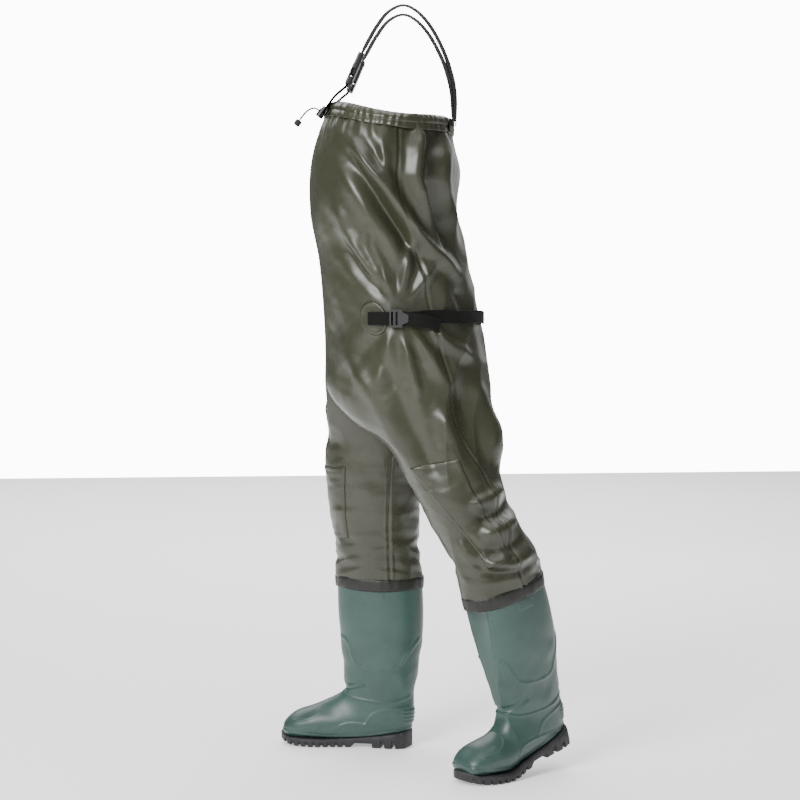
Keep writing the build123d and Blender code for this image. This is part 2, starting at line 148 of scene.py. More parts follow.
LEG_FOLDS = {
    "left": [
        ([(-0.113, 0.882), (-0.060, 0.780), (-0.010, 0.690), (0.040, 0.610)], 0.0058, 0.014),
        ([(-0.053, 0.892), (0.000, 0.770), (0.050, 0.660), (0.085, 0.600)], -0.0050, 0.014),
        ([(0.112, 0.815), (0.140, 0.740), (0.165, 0.670), (0.197, 0.602)], -0.0130, 0.024),
        ([(0.150, 0.812), (0.182, 0.742), (0.210, 0.672)], 0.0060, 0.013),
        ([(0.070, 0.760), (0.105, 0.690), (0.120, 0.620)], 0.0062, 0.014),
        ([(0.215, 0.600), (0.170, 0.575), (0.125, 0.560)], 0.0070, 0.012),
        ([(0.235, 0.570), (0.190, 0.545), (0.140, 0.535)], -0.0070, 0.012),
        ([(0.240, 0.535), (0.200, 0.515), (0.150, 0.500)], 0.0062, 0.012),
        ([(0.262, 0.500), (0.215, 0.480), (0.160, 0.470)], -0.0055, 0.011),
        ([(0.270, 0.465), (0.220, 0.448), (0.150, 0.440)], 0.0060, 0.010),
        ([(0.120, 0.455), (0.180, 0.430), (0.250, 0.428)], -0.0050, 0.009),
        ([(0.110, 0.500), (0.125, 0.470), (0.140, 0.440)], 0.0045, 0.010),
    ],
    "right": [
        ([(-0.085, 0.745), (-0.072, 0.683), (-0.036, 0.630), (-0.057, 0.565), (-0.023, 0.500)],
         0.0080, 0.014),
        ([(0.045, 0.660), (0.022, 0.565), (0.000, 0.480), (-0.020, 0.415)], -0.0100, 0.018),
        ([(-0.115, 0.690), (-0.095, 0.640), (-0.060, 0.600)], -0.0055, 0.012),
        ([(-0.100, 0.520), (-0.060, 0.480), (-0.010, 0.455)], 0.0060, 0.011),
        ([(-0.105, 0.470), (-0.050, 0.440), (0.030, 0.430)], -0.0060, 0.010),
        ([(-0.100, 0.430), (-0.040, 0.405), (0.045, 0.400)], 0.0055, 0.009),
        ([(0.060, 0.560), (0.030, 0.520), (0.000, 0.500)], 0.0050, 0.012),
    ],
}
# the outside seam, as y by height
SEAM = [(0.394, 0.245), (0.430, 0.235), (0.526, 0.205), (0.610, 0.172), (0.722, 0.109),
        (0.812, 0.098), (0.932, 0.070), (1.052, 0.050), (1.172, 0.013), (1.298, 0.017), (1.364, 0.019)]
SEAM_RIGHT = [(0.373, 0.005), (0.520, 0.000), (0.685, 0.010), (0.812, 0.030), (0.932, 0.040),
              (1.052, 0.030), (1.172, 0.013), (1.298, 0.017), (1.364, 0.019)]


# ------------------------------------------------------------------ mesh helpers
def add_object(name, data):
    made = bpy.data.objects.new(name, data)
    bpy.context.scene.collection.objects.link(made)
    return made


def new_piece(name, vertices, faces):
    """A smooth-shaded mesh object."""
    mesh = bpy.data.meshes.new(name)
    mesh.from_pydata([tuple(v) for v in vertices], [], [tuple(f) for f in faces])
    mesh.update()
    piece = add_object(name, mesh)
    mesh.polygons.foreach_set("use_smooth", [True] * len(mesh.polygons))
    return piece


def only(piece):
    """Makes the piece the one that is selected and active."""
    bpy.ops.object.select_all(action="DESELECT")
    piece.select_set(True)
    bpy.context.view_layer.objects.active = piece


def add_modifier(piece, kind, **values):
    """Adds a modifier and applies it."""
    only(piece)
    modifier = piece.modifiers.new(kind.title(), kind)
    for key, value in values.items():
        setattr(modifier, key, value)
    bpy.ops.object.modifier_apply(modifier=modifier.name)


def finish_piece(piece, material, body=None):
    """Gives a piece its finish, its slot and, where it rides on one body, that body."""
    piece.data.materials.clear()
    piece.data.materials.append(material)
    if body:
        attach(piece, body)
    return piece


def lattice_faces(rows, columns, closed=True):
    """The quads between rows of points, which may close round on themselves."""
    faces = []
    for row in range(rows - 1):
        for column in range(columns if closed else columns - 1):
            after = (column + 1) % columns
            low, high = row * columns, (row + 1) * columns
            faces.append((low + column, low + after, high + after, high + column))
    return faces


def capped_faces(rows, columns):
    """The quads between closed rows, with a face over each end."""
    last = (rows - 1) * columns
    return lattice_faces(rows, columns) + [tuple(range(columns))[::-1],
                                           tuple(last + c for c in range(columns))]


def unit(vectors):
    return vectors / np.maximum(np.linalg.norm(vectors, axis=-1, keepdims=True), 1e-12)


def smooth_lookup(table, at):
    """Reads a table of rows sorted by their first number, on a smooth curve through them."""
    rows = np.array(sorted(table), dtype=float)
    keys = rows[:, 0]
    at = np.clip(at, keys[0], keys[-1])
    index = np.clip(np.searchsorted(keys, at, side="right") - 1, 0, len(keys) - 2)
    slopes = np.gradient(rows[:, 1:], keys, axis=0)
    width = keys[index + 1] - keys[index]
    t = ((at - keys[index]) / width)[..., None]
    width = width[..., None]
    p0, p1 = rows[index, 1:], rows[index + 1, 1:]
    m0, m1 = slopes[index] * width, slopes[index + 1] * width
    return ((2 * t**3 - 3 * t**2 + 1) * p0 + (t**3 - 2 * t**2 + t) * m0
            + (-2 * t**3 + 3 * t**2) * p1 + (t**3 - t**2) * m1)


def ease(value):
    value = np.clip(value, 0, 1)
    return value * value * (3 - 2 * value)


def ripple(points, size, seed, octaves=3):
    """A smooth wandering field between about -1 and 1, with features of the given size."""
    random = np.random.default_rng(seed)
    total = np.zeros(points.shape[:-1])
    weight = 0.0
    for octave in range(octaves):
        strength = 0.55**octave
        for _ in range(5):
            direction = random.normal(size=3)
            direction *= 2 * pi / size * (1.9**octave) / np.linalg.norm(direction) * random.uniform(0.6, 1.2)
            bend = random.normal(size=3)
            bend *= 2 * pi / size * 0.5 / np.linalg.norm(bend)
            phase = random.uniform(0, 2 * pi, 2)
            total += strength * np.sin(points @ direction + phase[0] + 1.3 * np.sin(points @ bend + phase[1]))
            weight += strength * 0.45
    return total / weight


def crest(y, z, line, width):
    """How strongly a fold along a line is felt at (y, z): 1 on its crest, fading at its ends."""
    points = np.array(line)
    lengths = np.hypot(*np.diff(points, axis=0).T)
    total = lengths.sum()
    best = np.full(y.shape, 1e9)
    along = np.zeros(y.shape)
    start = 0.0
    for (ay, az), (by, bz), length in zip(points[:-1], points[1:], lengths):
        t = np.clip(((y - ay) * (by - ay) + (z - az) * (bz - az)) / length**2, 0, 1)
        distance = np.hypot(y - ay - t * (by - ay), z - az - t * (bz - az))
        nearer = distance < best
        best = np.where(nearer, distance, best)
        along = np.where(nearer, (start + t * length) / total, along)
        start += length
    fade = ease(along / 0.25) * ease((1 - along) / 0.25) * 0.85 + 0.15
    ridge = np.exp(-(best / width) ** 2) - 0.42 * np.exp(-((best - 2.1 * width) / (1.1 * width)) ** 2)
    return ridge * fade


# ------------------------------------------------------------------ shape of the cloth
def hem_slope(points, height):
    """Leans the chest edge: higher in front, and dipping at the sides."""
    share = ease((height - 1.17) / 0.17)
    dip = 0.019 * ease((height - 1.27) / 0.09) * np.clip(np.abs(points[..., 0]) / 0.2, 0, 1) ** 3
    points[..., 2] += share * -np.tan(HEM_TILT) * (points[..., 1] - HEM_Y) - dip
    return points


def turn_shoulders(points, height):
    """Twists the trunk about its middle, a little more the higher it is."""
    angle = CHEST_YAW * np.clip((height - WAIST_TURN) / (HEM_Z - WAIST_TURN), 0, 1)
    x, y = points[..., 0].copy(), points[..., 1].copy()
    points[..., 0] = x * np.cos(angle) - y * np.sin(angle)
    points[..., 1] = x * np.sin(angle) + y * np.cos(angle)
    return points


def trunk_points(side, angle, height):
    """Half of the trunk: the outer arc of a leg's circle is spread over half an oval."""
    y, half_width, half_depth = np.moveaxis(smooth_lookup(TRUNK, height), -1, 0)
    turned = np.mod(angle + pi, 2 * pi) - pi
    spread = np.clip(turned / OUTER_ARC, -1, 1) * (pi / 2)
    inner = np.clip((np.abs(turned) - OUTER_ARC) / (pi - OUTER_ARC), 0, 1)
    points = np.zeros(angle.shape + (3,))
    points[..., 0] = side * half_width * np.cos(spread)
    points[..., 1] = y + half_depth * np.sin(spread) * np.cos(inner * pi / 2)
    points[..., 2] = height
    return hem_slope(points, height)


def leg_points(side, angle, height):
    name = "left" if side > 0 else "right"
    x, y, half_width, half_depth, yaw, lean = np.moveaxis(smooth_lookup(LEGS[name], height), -1, 0)
    yaw, lean = np.radians(yaw), np.radians(lean)
    local_x = side * half_width * np.cos(angle)
    local_y = half_depth * np.sin(angle)
    points = np.zeros(angle.shape + (3,))
    points[..., 0] = x + local_x * np.cos(yaw) - local_y * np.cos(lean) * np.sin(yaw)
    points[..., 1] = y + local_x * np.sin(yaw) + local_y * np.cos(lean) * np.cos(yaw)
    points[..., 2] = height + local_y * np.sin(lean)
    return points


def garment_points(side, angle, height):
    """One half of the garment, from the chest edge to the rim of the boot."""
    turned = np.abs(np.mod(angle + pi, 2 * pi) - pi)
    inner = np.clip((turned - OUTER_ARC) / (pi - OUTER_ARC), 0, 1)
    outer = np.clip(turned / OUTER_ARC, 0, 1)
    top = CROTCH + 0.055 * (1 - ease(inner)) + 0.035 * (1 - outer)
    share = ease((top - height) / (0.075 + 0.085 * (1 - inner)))[..., None]
    return trunk_points(side, angle, height) * (1 - share) + leg_points(side, angle, height) * share


def skin_normals(side, angle, height, step, low=0.0, high=2.0):
    """Which way the plain garment faces, from neighbours a step away."""
    across = garment_points(side, angle + step, height) - garment_points(side, angle - step, height)
    down = (garment_points(side, angle, np.clip(height - step, low, high))
            - garment_points(side, angle, np.clip(height + step, low, high)))
    return unit(np.cross(across, down) * -side)


def seam_strength(side, points):
    """The two welded ridges of the outside seam."""
    table = SEAM if side > 0 else SEAM_RIGHT
    y = smooth_lookup(table, points[..., 2])[..., 0]
    away = points[..., 1] - y
    ridges = np.exp(-((np.abs(away) - 0.0065) / 0.0030) ** 2) - 1.7 * np.exp(-(away / 0.0024) ** 2)
    return ridges * (points[..., 0] * side > 0.03)


def fold_height(side, points, facing):
    """How far the cloth stands off its plain shape."""
    name = "left" if side > 0 else "right"
    x, y, z = points[..., 0], points[..., 1], points[..., 2]
    outside = ease((x * side - 0.055) / 0.06)
    height = np.zeros(x.shape)
    for number, (line, lift, width) in enumerate(TRUNK_FOLDS):
        moved = line if side > 0 else [(a + 0.012 * sin(number * 2.1), b + 0.014 * cos(number * 1.7))
                                       for a, b in line]
        height += 1.35 * lift * crest(y, z, moved, width) * outside
    leg_side = facing if side > 0 else 1 - facing
    for line, lift, width in LEG_FOLDS[name]:
        height += lift * crest(y, z, line, width) * ease(leg_side * 2.2)
    # long soft folds that fall from the chest, then creases at the knee and above the boot
    stretched = points * np.array([1.0, 1.0, 0.42])
    rear = 0.35 + 0.65 * ease((y + 0.03) / 0.09)
    height += 0.0034 * rear * (1 - 2.2 * np.abs(ripple(stretched, 0.125, 11 + int(side), 1)))
    height += 0.0012 * ripple(points, 0.110, 23 + int(side), 2)
    knee = np.exp(-((z - 0.52) / 0.13) ** 2)
    low = ease((0.50 - z) / 0.06)
    flat = points * np.array([0.6, 0.6, 1.7])
    height += (0.0016 * knee + 0.0032 * low) * (0.55 - np.abs(ripple(flat, 0.085, 37 + int(side), 2)))
    height += 0.0002 * ripple(points, 0.030, 51 + int(side), 1)
    hem = ease((z - 1.300) / 0.05)
    gather = np.sin(np.arctan2(y, x) * 38 + 2.4 * ripple(points * np.array([1, 1, 0.3]), 0.09, 61, 1))
    height = height * (1 - 0.6 * hem) + 0.0020 * gather * ease((z - 1.270) / 0.07)
    rim = ease((z - (0.395 if side > 0 else 0.374)) / 0.03)
    height *= 0.35 + 0.65 * rim
    return height


def cloth_half(side):
    """Rows of points for one half, with their normals, from the chest edge down."""
    name = "left" if side > 0 else "right"
    bottom = LEGS[name][0][0]
    heights = np.linspace(CHEST_TOP, bottom, int((CHEST_TOP - bottom) / ROW))
    heights[np.argmin(np.abs(heights - SPLIT))] = SPLIT
    angles = np.linspace(0, 2 * pi, AROUND, endpoint=False)
    height, angle = np.meshgrid(heights, angles, indexing="ij")
    points = garment_points(side, angle, height)
    normal = skin_normals(side, angle, height, 0.002, bottom, CHEST_TOP)
    wall = (np.abs(points[..., 0]) < SEAM_HALF) & (height > CROTCH - 0.01)
    lift = fold_height(side, points, (normal[..., 0] + 1) / 2)
    lift += 0.0011 * seam_strength(side, points)
    edge = ease(np.abs(points[..., 0]) / 0.05)
    lift = lift * edge + 0.0012 * np.exp(-(np.abs(points[..., 0]) / 0.004) ** 2) * (height > CROTCH)
    points = points + normal * lift[..., None]
    seam_line = np.abs(points[..., 0]) < SEAM_HALF
    points[..., 0] = np.where(seam_line & (height > CROTCH), 0.0, points[..., 0])
    return heights, turn_shoulders(points, height), wall


# ------------------------------------------------------------------ materials
def new_group(name, given, made):
    """A node group with the sockets named, and its two ends."""
    tree = bpy.data.node_groups.new(name, "ShaderNodeTree")
    for label, value in given.items():
        kind = "NodeSocketFloat" if isinstance(value, float) else "NodeSocketColor"
        tree.interface.new_socket(name=label, in_out="INPUT", socket_type=kind).default_value = value
    for label, kind in made.items():
        tree.interface.new_socket(name=label, in_out="OUTPUT", socket_type=kind)
    return tree, tree.nodes.new("NodeGroupInput").outputs, tree.nodes.new("NodeGroupOutput").inputs


def add_node(tree, kind, inputs, **settings):
    """A node with its settings made and its inputs set, or linked to the socket given."""
    node = tree.nodes.new(kind)
    for key, value in settings.items():
        setattr(node, key, value)
    for key, value in inputs.items():
        if isinstance(value, bpy.types.NodeSocket):
            tree.links.new(value, node.inputs[key])
        else:
            node.inputs[key].default_value = value
    return node


def surface_grain_group():
    """Mottled tone and two sizes of grain, shared by all the finishes."""
    name = "Surface grain"
    if name in bpy.data.node_groups:
        return bpy.data.node_groups[name]
    tree, given, put = new_group(
        name, {"Color": (0.1, 0.1, 0.1, 1), "Worn Color": (0.2, 0.2, 0.2, 1), "Tone Size": 8.0,
               "Grain Size": 900.0, "Roughness": 0.45, "Roughness Spread": 0.12, "Wear": 0.3},
        {"Color": "NodeSocketColor", "Roughness": "NodeSocketFloat", "Height": "NodeSocketFloat"})
    place = add_node(tree, "ShaderNodeTexCoord", {}).outputs["Object"]
    tone = add_node(tree, "ShaderNodeTexNoise", {"Vector": place, "Scale": given["Tone Size"],
                                                 "Detail": 6, "Roughness": 0.62})
    grain = add_node(tree, "ShaderNodeTexNoise", {"Vector": place, "Scale": given["Grain Size"],
                                                  "Detail": 2})
    scuff = add_node(tree, "ShaderNodeTexNoise", {"Vector": place, "Scale": 34, "Detail": 9,
                                                  "Roughness": 0.72})
    shade = add_node(tree, "ShaderNodeMapRange", {"Value": tone.outputs["Fac"], "From Min": 0.3,
                                                  "From Max": 0.7, "To Min": 0.80, "To Max": 1.16})
    tinted = add_node(tree, "ShaderNodeVectorMath",
                      {0: given["Color"], "Scale": shade.outputs["Result"]}, operation="SCALE")
    rubbed = add_node(tree, "ShaderNodeMapRange", {"Value": scuff.outputs["Fac"], "From Min": 0.55,
                                                   "From Max": 0.82})
    amount = add_node(tree, "ShaderNodeMath", {0: rubbed.outputs["Result"], 1: given["Wear"]},
                      operation="MULTIPLY")
    mixed = add_node(tree, "ShaderNodeMix", {"Factor": amount.outputs["Value"],
                                             6: tinted.outputs["Vector"], 7: given["Worn Color"]},
                     data_type="RGBA")
    around = add_node(tree, "ShaderNodeMath", {0: scuff.outputs["Fac"], 1: 0.5}, operation="SUBTRACT")
    rough = add_node(tree, "ShaderNodeMath", {0: around.outputs["Value"], 1: given["Roughness Spread"],
                                              2: given["Roughness"]}, operation="MULTIPLY_ADD")
    tree.links.new(mixed.outputs[2], put["Color"])
    tree.links.new(rough.outputs["Value"], put["Roughness"])
    tree.links.new(grain.outputs["Fac"], put["Height"])
    return tree


def weave_group():
    """Ribs of woven webbing across two ways, for straps and tapes."""
    name = "Webbing weave"
    if name in bpy.data.node_groups:
        return bpy.data.node_groups[name]
    tree, given, put = new_group(name, {"Rib Count": 700.0}, {"Mask": "NodeSocketFloat"})
    layout = add_node(tree, "ShaderNodeUVMap", {})
    scaled = add_node(tree, "ShaderNodeVectorMath",
                      {0: layout.outputs["UV"], "Scale": given["Rib Count"]}, operation="SCALE")
    waves = [add_node(tree, "ShaderNodeTexWave",
                      {"Scale": 1.0, "Distortion": 0.4, "Vector": scaled.outputs["Vector"]},
                      bands_direction=direction).outputs["Fac"] for direction in ("X", "Y")]
    both_ways = add_node(tree, "ShaderNodeMath", dict(enumerate(waves)), operation="MULTIPLY")
    tree.links.new(both_ways.outputs["Value"], put["Mask"])
    return tree


def finish_material(name, color, worn, roughness, spread, tone=8.0, grain=900.0, wear=0.3,
                    bump=0.1, depth=0.0004, coat=0.0, coat_roughness=0.3, specular=0.5, sheen=0.0,
                    weave=None):
    """A Principled surface fed by the shared grain, and by the weave on webbing."""
    material = bpy.data.materials.new(name)
    material.use_nodes = True
    tree = material.node_tree
    shader = tree.nodes["Principled BSDF"]
    shader.inputs["Specular IOR Level"].default_value = specular
    shader.inputs["Coat Weight"].default_value = coat
    shader.inputs["Coat Roughness"].default_value = coat_roughness
    shader.inputs["Sheen Weight"].default_value = sheen
    surface = tree.nodes.new("ShaderNodeGroup")
    surface.node_tree = surface_grain_group()
    for key, value in (("Tone Size", tone), ("Grain Size", grain), ("Roughness", roughness),
                       ("Roughness Spread", spread), ("Wear", wear), ("Color", (*color, 1)),
                       ("Worn Color", (*worn, 1))):
        surface.inputs[key].default_value = value
    look, height = surface.outputs["Color"], surface.outputs["Height"]
    if weave:
        woven = tree.nodes.new("ShaderNodeGroup")
        woven.node_tree = weave_group()
        woven.inputs["Rib Count"].default_value = weave
        height = woven.outputs["Mask"]
        # On webbing the raised ribs of the weave are painted 2.6 times lighter than the gaps between them:
        # painted highlight on the rib crests and painted shade in the gaps.
        look = add_node(tree, "ShaderNodeMix",
                        {"Factor": height, 6: look, 7: (*[min(1, c * 2.6) for c in color], 1)},
                        data_type="RGBA").outputs[2]
    raised = add_node(tree, "ShaderNodeBump", {"Strength": bump, "Distance": depth, "Height": height})
    tree.links.new(look, shader.inputs["Base Color"])
    tree.links.new(surface.outputs["Roughness"], shader.inputs["Roughness"])
    tree.links.new(raised.outputs["Normal"], shader.inputs["Normal"])
    return material


def materials():
    """All the finishes, made once."""
    if "Coated cloth" in bpy.data.materials:
        return {m.name: m for m in bpy.data.materials}
    colours = bpy.context.scene.waders_colours
    cloth, boot, sole = tuple(colours.cloth), tuple(colours.boot), tuple(colours.sole)
    finish_material("Coated cloth", cloth, tuple(c * 1.2 for c in cloth), 0.36, 0.12, tone=7,
                    grain=1300, wear=0.25, bump=0.22, depth=0.0005, coat=0.12, coat_roughness=0.35)
    # Trim is the cloth's colour at 0.18 times. On the boot cuffs this dark colour is painted shade over the
    # boot's rim.
    finish_material("Welded trim", tuple(c * 0.18 for c in cloth), tuple(c * 0.30 for c in cloth), 0.50,
                    0.15, tone=12, grain=1500, wear=0.3, bump=0.25, depth=0.0005)
    finish_material("Moulded boot", boot, tuple(c * 1.3 for c in boot), 0.44, 0.14, tone=10,
                    grain=700, wear=0.35, bump=0.06, depth=0.0004, coat=0.1, coat_roughness=0.3)
    finish_material("Sole rubber", sole, tuple(c * 1.9 for c in sole), 0.62, 0.2, tone=18,
                    grain=800, wear=0.6, bump=0.2, depth=0.0006)
    finish_material("Webbing", (0.004, 0.004, 0.0036), (0.010, 0.010, 0.009), 0.8, 0.15, tone=30,
                    wear=0.4, bump=0.5, depth=0.0006, specular=0.15, weave=420.0)
    finish_material("Black plastic", (0.006, 0.006, 0.0065), (0.022, 0.022, 0.024), 0.40, 0.2, tone=30,
                    grain=2600, wear=0.35, bump=0.15, depth=0.0003)
    # The ladder lock is black plastic; this lighter copy of it is painted highlight.
    finish_material("Grey plastic", (0.012, 0.012, 0.013), (0.03, 0.03, 0.032), 0.40, 0.2, tone=30,
                    grain=2600, wear=0.35, bump=0.15, depth=0.0003)
    finish_material("Cord", (0.006, 0.006, 0.006), (0.02, 0.02, 0.019), 0.8, 0.1, tone=60,
                    grain=1800, wear=0.3, bump=0.6, depth=0.0006, sheen=0.3)
    finish_material("Insole felt", (0.16, 0.16, 0.15), (0.25, 0.25, 0.24), 0.95, 0.05, tone=40,
                    grain=1500, wear=0.4, bump=0.7, depth=0.0008, sheen=0.4)
    steel = finish_material("Spring steel", (0.55, 0.55, 0.56), (0.4, 0.4, 0.4), 0.28, 0.1, tone=40,
                            grain=2500, wear=0.3, bump=0.1, depth=0.0001)
    steel.node_tree.nodes["Principled BSDF"].inputs["Metallic"].default_value = 1.0
    return {m.name: m for m in bpy.data.materials}


# ------------------------------------------------------------------ cloth pieces
def cloth_piece(name, points, normals, wall=None, thickness=0.0012, flip=False):
    """A closed-round or part-open skin from rows of points, given its thickness inwards."""
    rows, columns = points.shape[:2]
    faces = lattice_faces(rows, columns)
    if wall is not None:
        flat_wall = wall.reshape(-1)
        faces = [face for face in faces if not all(flat_wall[i] for i in face)]
    if flip:
        faces = [face[::-1] for face in faces]
    used = sorted({index for face in faces for index in face})
    compact = {index: place for place, index in enumerate(used)}
    faces = [tuple(compact[index] for index in face) for face in faces]
    flat = normals.reshape(-1, 3)[used]
    piece = new_piece(name, points.reshape(-1, 3)[used], faces)
    add_modifier(piece, "SOLIDIFY", thickness=thickness, offset=-1.0, use_even_offset=False)
    mesh = piece.data
    mesh.polygons.foreach_set("use_smooth", [True] * len(mesh.polygons))
    shading = np.concatenate([flat, -flat])
    if len(shading) == len(mesh.vertices):
        mesh.normals_split_custom_set_from_vertices(shading.tolist())
    return piece


def row_normals(points, side):
    """Smooth normals of the rows, so that pieces that meet shade as one."""
    around = np.roll(points, -1, axis=1) - np.roll(points, 1, axis=1)
    down = np.gradient(points, axis=0)
    return unit(np.cross(around, down) * -side)


def place_in_part(points):
    return points + np.array(WEARER)


def make_cloth(name):
    side = SIDES[name]
    heights, points, wall = cloth_half(side)
    normals = row_normals(points, side)
    split = int(np.argmin(np.abs(heights - SPLIT)))
    points = place_in_part(points)
    flip = side > 0
    upper = cloth_piece(f"{name}_body_cloth", points[: split + 1], normals[: split + 1],
                        wall[: split + 1], flip=flip)
    lower = cloth_piece(f"{name}_leg_cloth", points[split:], normals[split:], flip=flip)
    cloth = materials()["Coated cloth"]
    finish_piece(upper, cloth)
    finish_piece(lower, cloth)
    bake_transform(upper)
    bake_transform(lower)
    nodes = [f"{name}_{part}" for part in ("shin_front", "shin_back")]
    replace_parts(lower, *nodes)
    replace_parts(upper, f"{name}_thigh_front", f"{name}_thigh_back",
                "bib_front_panel" if name == "left" else "bib_back_panel")
    if name == "left":
        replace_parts(upper, "crotch_seam")


def skin_patch(name, side, corner_rows, stand=0.0011, thickness=0.0009, rows=60, columns=44):
    """A welded patch that follows the cloth: corners are (angle, height), low edge first."""
    (a0, h0), (a1, h1), (a2, h2), (a3, h3) = corner_rows
    u, v = np.meshgrid(np.linspace(0, 1, columns), np.linspace(0, 1, rows))
    angle = np.radians((1 - v) * ((1 - u) * a0 + u * a1) + v * ((1 - u) * a3 + u * a2))
    height = (1 - v) * ((1 - u) * h0 + u * h1) + v * ((1 - u) * h3 + u * h2)
    points = garment_points(side, angle, height)
    normal = skin_normals(side, angle, height, 0.004)
    lift = fold_height(side, points, (normal[..., 0] + 1) / 2)
    rim = np.minimum(np.minimum(u, 1 - u) * columns, np.minimum(v, 1 - v) * rows)
    weld = 0.0007 * np.exp(-((rim - 2.6) / 1.1) ** 2) - 0.0009 * ease((1.2 - rim) / 1.2)
    points = turn_shoulders(points + normal * (lift + stand + weld)[..., None], height)
    faces = lattice_faces(rows, columns, closed=False)
    if side > 0:
        faces = [face[::-1] for face in faces]
    piece = new_piece(name, place_in_part(points).reshape(-1, 3), faces)
    add_modifier(piece, "SOLIDIFY", thickness=thickness, offset=-1.0)
    return piece


def trunk_ring(angle, height, offset):
    """Points round the whole trunk, a distance outside its oval."""
    y, half_width, half_depth = np.moveaxis(smooth_lookup(TRUNK, height), -1, 0)
    points = np.zeros(angle.shape + (3,))
    points[..., 0] = (half_width + offset) * np.cos(angle)
    points[..., 1] = y + (half_depth + offset) * np.sin(angle)
    points[..., 2] = height
    return turn_shoulders(hem_slope(points, height), height)


def closed_rings(name, points):
    """A solid from rings of points that close both ways."""
    rows, columns = points.shape[:2]
    faces = lattice_faces(rows, columns)
    last = (rows - 1) * columns
    faces += [(last + c, last + (c + 1) % columns, (c + 1) % columns, c) for c in range(columns)]
    piece = new_piece(name, points.reshape(-1, 3), faces)
    outward_normals(piece)
    return piece


def outward_normals(piece):
    only(piece)
    bpy.ops.object.mode_set(mode="EDIT")
    bpy.ops.mesh.select_all(action="SELECT")
    bpy.ops.mesh.normals_make_consistent(inside=False)
    bpy.ops.object.mode_set(mode="OBJECT")


def make_hem():
    """The turned-over chest edge, fuller where the drawcord runs in it."""
    profile = [(0.0006, 1.3325), (0.0028, 1.3320), (0.0038, 1.3345), (0.0044, 1.3400), (0.0048, 1.3450),
               (0.0044, 1.3462), (0.0046, 1.3474), (0.0058, 1.3490), (0.0076, 1.3530), (0.0076, 1.3570),
               (0.0066, 1.3610), (0.0042, 1.3640), (0.0010, 1.3650), (-0.0018, 1.3635), (-0.0026, 1.3590),
               (-0.0020, 1.3500), (-0.0018, 1.3400), (-0.0012, 1.3330)]
    angle = np.linspace(0, 2 * pi, 520, endpoint=False)
    rings = []
    for offset, height in profile:
        flat = trunk_ring(angle, np.full(angle.shape, height), offset)
        pucker = np.sin(angle * 46 + 3.0 * ripple(flat, 0.08, 71, 1)) * 0.0009 * (offset > 0.002)
        soft = 0.0020 * ripple(flat, 0.07, 73, 2)
        outward = flat - flat.mean(axis=0)
        outward[:, 2] = 0
        outward = unit(outward)
        rings.append(flat + outward * (pucker + soft)[:, None])
    hem = closed_rings("chest_hem_band", place_in_part(np.array(rings)))
    finish_piece(hem, materials()["Coated cloth"], "bib")
    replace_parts(hem, "chest_hem", "drawcord")


def make_knee_patch(name):
    side = SIDES[name]
    if side > 0:
        corners = [(-40, 0.446), (-2, 0.461), (-2, 0.655), (-60, 0.637)]
    else:
        corners = [(-146, 0.462), (-32, 0.462), (-32, 0.618), (-146, 0.618)]
    patch = skin_patch(f"{name}_knee_guard", side, corners)
    finish_piece(patch, materials()["Coated cloth"])
    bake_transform(patch)
    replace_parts(patch, f"{name}_knee_patch")


def rim_matrix(name, lift):
    """The plane across the top of a boot."""
    x, y, yaw, flex = BOOTS[name]
    place = bent(np.array([[0.002, 0.372 + lift]]), flex)[0]
    return (Matrix.Translation((x, y, 0)) @ Matrix.Rotation(radians(yaw), 4, "Z")
            @ Matrix.Translation((0, place[0], place[1])) @ Matrix.Rotation(radians(flex), 4, "X"))


def make_cuff(name):
    """The gathered band of cloth welded over the rim of the boot."""
    profile = [(0.0016, -0.0200), (0.0030, -0.0212), (0.0040, -0.0190), (0.0044, -0.0120),
               (0.0048, -0.0040), (0.0046, 0.0020), (0.0034, 0.0050), (0.0012, 0.0056),
               (-0.0012, 0.0030), (0.0004, -0.0100)]
    angle = np.linspace(0, 2 * pi, 260, endpoint=False)
    side = SIDES[name]
    rings = []
    for offset, lift in profile:
        ring = np.stack([(0.0605 + offset) * np.cos(angle), (0.0935 + offset) * np.sin(angle),
                         np.full(angle.shape, lift)], axis=1)
        pleats = 0.0010 * ripple(ring * np.array([1, 1, 0.3]), 0.030, 81 + int(side), 2)
        sag = 0.0022 * ripple(ring * np.array([1, 1, 0.0]), 0.11, 83 + int(side), 1)
        ring[:, :2] *= 1 + (pleats / 0.08)[:, None] * (offset > 0.002)
        ring[:, 2] += sag
        rings.append(ring)
    rings = np.array(rings)
    turn = np.array(rim_matrix(name, 0.0))
    rings = rings @ turn[:3, :3].T + turn[:3, 3] + np.array(WEARER)
    cuff = closed_rings(f"{name}_cuff_band", rings)
    # The band takes the dark trim finish: painted shade where the cloth gathers over the boot's rim.
    finish_piece(cuff, materials()["Welded trim"], f"{name}_lower_leg")
    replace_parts(cuff, f"{name}_boot_cuff")


# ------------------------------------------------------------------ boots
def bent(points, flex):
    """The (y, z) of the flat boot once its sole is bent at the ball of the foot."""
    y, z = points[..., 0], points[..., 1]
    angle = radians(flex) * np.clip((y - BALL[0]) / 0.05, 0, 1)
    dy, dz = y - BALL[0], z - BALL[1]
    return np.stack([BALL[0] + dy * np.cos(angle) - dz * np.sin(angle),
                     BALL[1] + dy * np.sin(angle) + dz * np.cos(angle)], axis=-1)


def boot_to_part(name, points):
    x, y, yaw, flex = BOOTS[name]
    turned = bent(points[..., 1:], flex)
    local = np.concatenate([points[..., :1], turned], axis=-1)
    yaw = radians(yaw)
    out = local.copy()
    out[..., 0] = x + local[..., 0] * cos(yaw) - local[..., 1] * sin(yaw)
    out[..., 1] = y + local[..., 0] * sin(yaw) + local[..., 1] * cos(yaw)
    return out + np.array(WEARER)


